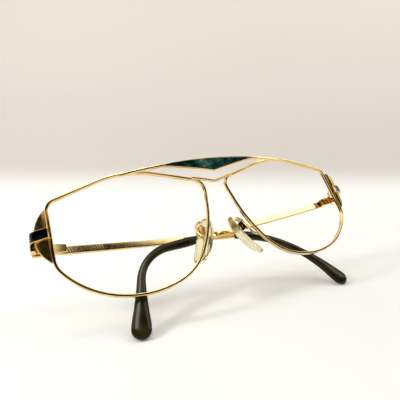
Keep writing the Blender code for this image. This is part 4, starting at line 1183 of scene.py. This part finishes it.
# %% [markdown]
# ### Pad plastic
#
# Nose pads are soft clear vinyl that yellows with age, in clouds of 4 or 5 mm. Light passes
# through with a little haze, so it is nearly all transmissive, with a small share of plain pale
# yellow body. A clear material with a tint alone would look like glass.

# %% Aged clear vinyl
pad_plastic, tree = finish("aged_clear_vinyl", Roughness=0.08, Transmission_Weight=0.93,
                           IOR=1.42)
metres = add(tree, "TexCoord").outputs["Object"]
place = add(tree, "Mapping", Vector=metres, Scale=PER_MM).outputs["Vector"]
cloud = add(tree, "TexNoise", Vector=place, Scale=0.22, Detail=3.0).outputs["Fac"]
tint = add(tree, "ValToRGB", {"stops": ((0.3, "#EDE3AC"), (0.7, "#F8F3D4"))}, Fac=cloud)
dress(pad_plastic, Base_Color=tint.outputs["Color"])

# %% [markdown]
# ### Screws
#
# The screws are steel with a thin gold wash: paler and a little duller than the plate. A
# screwdriver wears them in patches of half a millimetre, which one noise gives to both the tint
# and the gloss.

# %% Gold-washed steel
screw_steel, tree = finish("gold_washed_steel", Metallic=1.0)
metres = add(tree, "TexCoord").outputs["Object"]
place = add(tree, "Mapping", Vector=metres, Scale=PER_MM).outputs["Vector"]
wear = add(tree, "TexNoise", Vector=place, Scale=1.8, Detail=4.0).outputs["Fac"]
tint = add(tree, "ValToRGB", {"stops": ((0.3, "#C2A068"), (0.7, "#DCC08A"))}, Fac=wear)
rough = add(tree, "ValToRGB", {"stops": ((0.3, 0.2), (0.8, 0.34))}, Fac=wear)
dress(screw_steel, Base_Color=tint.outputs["Color"], Roughness=rough.outputs["Color"])

# %% [markdown]
# ## Give every piece its finish
#
# The record names a slot for each imported node. Each new piece was listed with the node that it
# stands for when it was handed over, so one table of slots dresses both the new pieces and the
# imported nodes.

# %% Dress the pieces
FINISHES = {
    "polished_gold": polished_gold, "brushed_gold": brushed_gold, "teal_enamel": teal_enamel,
    "dark_enamel": dark_enamel, "olive_acetate": acetate, "pad_plastic": pad_plastic,
    "screw_steel": screw_steel,
}
for obj, node in made + [(obj, node) for node, obj in frame["nodes"].items()]:
    obj.data.materials.clear()
    obj.data.materials.append(FINISHES[PACKED[node]])
print(len(FINISHES), "finishes on", len(made), "pieces")

# %% [markdown]
# ## Camera
#
# The lens and the place were worked out from the outline of the rims and the temples: a near,
# wide view from the wearer's right, a little above the table. A longer lens from further off
# would show the far rim too large.

# %% Camera
CAMERA_PLACE = (-75.40, -123.78, 67.34)                # mm
CAMERA_TURN = (79.527, -0.227, -26.549)                # degrees
CAMERA_LENS, CAMERA_SENSOR = 32.04, 36                 # mm
camera = bpy.data.objects.new("camera", bpy.data.cameras.new("camera"))
camera.data.sensor_width = CAMERA_SENSOR
camera.data.lens = CAMERA_LENS
camera.data.clip_start = 0.005
camera.location = [v * MM for v in CAMERA_PLACE]
camera.rotation_euler = [math.radians(v) for v in CAMERA_TURN]
bpy.context.scene.collection.objects.link(camera)
bpy.context.scene.camera = camera
print("the camera stands", round(camera.location.length / MM), "mm away")

# %% [markdown]
# ## Table and wall
#
# One curved sheet of paper is both the white table and the pale wall, as in a photographer's
# sweep: a level run, a quarter circle and an upright. Two flat planes would meet in a line.

# %% Paper sweep
VIEW_TURN = math.radians(-26.6)        # the sweep faces the camera
BEND_START, BEND_RADIUS = 0.25, 0.22   # metres, as all of the stage is
SWEEP_NEAR, SWEEP_TOP, SWEEP_HALF_WIDTH = -0.9, 1.3, 1.5


def paper_rows():
    """Level to the bend, a quarter circle, then upright; turned about the upright by the view."""
    a = np.linspace(0, math.pi / 2, 40)
    y = np.concatenate((np.linspace(SWEEP_NEAR, BEND_START, 25)[:-1],
                        BEND_START + BEND_RADIUS * np.sin(a), [BEND_START + BEND_RADIUS]))
    z = np.concatenate((np.zeros(24), BEND_RADIUS * (1 - np.cos(a)), [SWEEP_TOP]))
    x = np.linspace(-SWEEP_HALF_WIDTH, SWEEP_HALF_WIDTH, 25)
    c, s = math.cos(VIEW_TURN), math.sin(VIEW_TURN)
    return np.stack((x[None] * c - y[:, None] * s, x[None] * s + y[:, None] * c,
                     np.broadcast_to(z[:, None], (len(z), len(x)))), axis=-1)


rows = paper_rows()
mesh = bpy.data.meshes.new("paper_sweep")
mesh.from_pydata(rows.reshape(-1, 3).tolist(), [], grid_quads(*rows.shape[:2], closed=False))
mesh.shade_smooth()
paper = bpy.data.objects.new("paper_sweep", mesh)
bpy.context.scene.collection.objects.link(paper)
print("paper sweep:", len(mesh.polygons), "faces")

# %% [markdown]
# ### White paper
#
# Matt paper is the same white all over, yet the table looks brighter than the wall, because more
# light falls on it. The slightly warmer grey above the table is painted shade on the wall, and
# needs no lamp of its own.

# %% Paper tone, with painted shade on the wall
white_paper, tree = finish("matt_white_paper", Roughness=0.8, Specular_IOR_Level=0.2)
metres = add(tree, "TexCoord").outputs["Object"]
height = add(tree, "SeparateXYZ", Vector=metres).outputs["Z"]
# The grey on the wall is painted shade: less light falls there than on the table.
TABLE_WHITE_AND_WALL_SHADE = ((0.0, "#FEFEFC"), (0.003, "#FBFAF6"), (0.022, "#E8E2D9"))
tone = add(tree, "ValToRGB", {"stops": TABLE_WHITE_AND_WALL_SHADE}, Fac=height).outputs["Color"]
print("table", TABLE_WHITE_AND_WALL_SHADE[0][1], "and wall", TABLE_WHITE_AND_WALL_SHADE[-1][1])

# %% [markdown]
# #### Its glow
#
# The paper glows a little for the camera and in mirrors, which keeps it white at a plain light
# level. Brighter lamps would do that too, but they would burn out the gold. The glow is painted
# light where it grows towards the back, which the lamps reach less, and painted shade where it
# dips as the paper begins to rise. The rest of the paper's brightness comes from the lamps, so it
# still takes the glasses' shadow.

# %% Paper glow
rays = add(tree, "LightPath").outputs
seen = add(tree, "Math", {"operation": "MAXIMUM"}, _0=rays["Is Camera Ray"],
           _1=rays["Is Glossy Ray"]).outputs[0]
seen = add(tree, "Math", {"operation": "MAXIMUM"}, _0=seen,
           _1=rays["Is Transmission Ray"]).outputs[0]
# Painted light: the glow grows towards the back, where the lamps reach less.
away = add(tree, "VectorMath", {"operation": "DOT_PRODUCT"}, _0=metres,
           _1=(-math.sin(VIEW_TURN), math.cos(VIEW_TURN), 0)).outputs["Value"]
far = add(tree, "MapRange", Value=away, From_Min=-0.02, From_Max=0.25, To_Min=0.16,
          To_Max=0.42).outputs["Result"]
# Painted shade: the glow dips where the paper begins to rise.
GLOW_WITH_PAINTED_DIP = ((0.0, 0.85), (0.02, 0.64), (0.15, 0.82), (0.6, 0.95))
glow_with_painted_dip = add(tree, "ValToRGB", {"stops": GLOW_WITH_PAINTED_DIP}, Fac=height).outputs["Color"]
glow = add(tree, "Math", {"operation": "MULTIPLY"}, _0=far, _1=glow_with_painted_dip).outputs[0]
glow = add(tree, "Math", {"operation": "MULTIPLY"}, _0=seen, _1=glow).outputs[0]
dress(white_paper, Base_Color=tone, Emission_Color=tone, Emission_Strength=glow)
paper.data.materials.append(white_paper)

# %% [markdown]
# ## Lamps
#
# A window on the left gives the soft shadows that fall to the right, and a large weak lamp behind
# on the right opens them up. Both are hidden from the gloss: a lamp's glint on thin wire against
# white paper looks like a gap in the wire.

# %% Lamps


def lamp(name, place, size, power):
    """A soft square of light that faces the glasses and leaves no glint."""
    data = bpy.data.lights.new(name, "AREA")
    data.size = size
    data.energy = power
    obj = bpy.data.objects.new(name, data)
    obj.location = place
    facing = Vector((0, 0, 0.02)) - Vector(place)
    obj.rotation_euler = facing.to_track_quat("-Z", "Y").to_euler()
    obj.visible_glossy = False
    bpy.context.scene.collection.objects.link(obj)
    print(name, "gives", power, "W from", round(Vector(place).length, 2), "m")


lamp("window_left", (-0.49, 0.10, 0.34), 0.11, 1.45)
lamp("lamp_right_back", (0.46, 0.10, 0.44), 0.35, 0.4)

# %% [markdown]
# ## The room that the gold mirrors
#
# Metal shows only what surrounds it. This room is pale low down, dim at eye height and bright
# overhead, with a dark side round the camera, which draws the black lines along the wires. A
# broad window on the right brightens what turns that way. An image of a real room would do the
# same, but a few soft steps are easier to place: each is a smooth rise along one direction.

# %% Soft steps in the room
room = bpy.data.worlds.new("studio_room")
bpy.context.scene.world = room
room.use_nodes = True
tree = room.node_tree
toward = add(tree, "TexCoord").outputs["Generated"]
STEPS = {              # direction, where the step starts and ends, value before and after
    "camera_side": ((-0.24, -0.96, -0.13), -0.01, 0.012, 0.0, 1.0),
    "above_floor": ((0, 0, 1), 0.15, 0.28, 0.0, 1.0),
    "skylight_side": ((-1.0, 0, 0), -0.16, -0.10, 0.0, 1.0),
    "skylight_height": ((0, 0, 1), 0.875, 0.94, 0.0, 1.0),
    "right_window": ((0.94, -0.2, 0.5), 0.66, 0.86, 1.3, 2.5),
    "ceiling_lamp": ((-0.07, -0.03, 1.0), 0.970, 0.990, 0.0, 7.5),
}
step = {}
for name, (way, low, high, before, after) in STEPS.items():
    share = add(tree, "VectorMath", {"operation": "DOT_PRODUCT"}, _0=toward,
                _1=Vector(way).normalized()).outputs["Value"]
    step[name] = add(tree, "MapRange", {"interpolation_type": "SMOOTHSTEP"}, Value=share,
                     From_Min=low, From_Max=high, To_Min=before, To_Max=after).outputs["Result"]
print("soft steps in the room:", len(step))

# %% [markdown]
# ### Walls
#
# One ramp up the height colours the room. The dark side is laid over it where its two steps are
# both on, except under a skylight on the left, so each edge stays as soft as its own step. A
# painted picture of the room would need its edges drawn again for every change.

# %% Walls
height = add(tree, "SeparateXYZ", Vector=toward).outputs["Z"]
SKY = ((0.0, "#D2CEC6"), (0.15, "#B4B0A8"), (0.26, "#6A665E"), (0.36, "#8B8780"),
       (0.50, "#FFFEFA"))
DARK = "#211C16"
sky = add(tree, "ValToRGB", {"stops": SKY}, Fac=height).outputs["Color"]
edge = add(tree, "Math", {"operation": "MULTIPLY"}, _0=step["camera_side"],
           _1=step["above_floor"]).outputs[0]
skylight = add(tree, "Math", {"operation": "MULTIPLY"}, _0=step["skylight_side"],
               _1=step["skylight_height"]).outputs[0]
shaded = add(tree, "MapRange", {"interpolation_type": "SMOOTHSTEP"}, Value=skylight, To_Min=1.0,
             To_Max=0.0).outputs["Result"]
dark_side = add(tree, "Math", {"operation": "MULTIPLY"}, _0=edge, _1=shaded).outputs[0]
walls = add(tree, "Mix", {"data_type": "RGBA"}, _0=dark_side, _6=sky, _7=linear(DARK))
tree.links.new(walls.outputs[2], tree.nodes["Background"].inputs["Color"])
print("walls:", len(SKY), "tones up the height")

# %% [markdown]
# ### How bright the room is
#
# The room's strength is plain all round and higher at the right window. The ceiling lamp counts
# only for gloss: it draws the narrow bright line along the plastic tips and the tops of the
# wires, without lighting the table a second time.

# %% Room strength
glossy = add(tree, "LightPath").outputs["Is Glossy Ray"]
shine = add(tree, "Math", {"operation": "MULTIPLY"}, _0=glossy, _1=step["ceiling_lamp"]).outputs[0]
level = add(tree, "Math", _0=step["right_window"], _1=shine).outputs[0]
tree.links.new(level, tree.nodes["Background"].inputs["Strength"])
bpy.context.scene.view_settings.view_transform = "Standard"
print("room:", len(tree.nodes), "nodes")
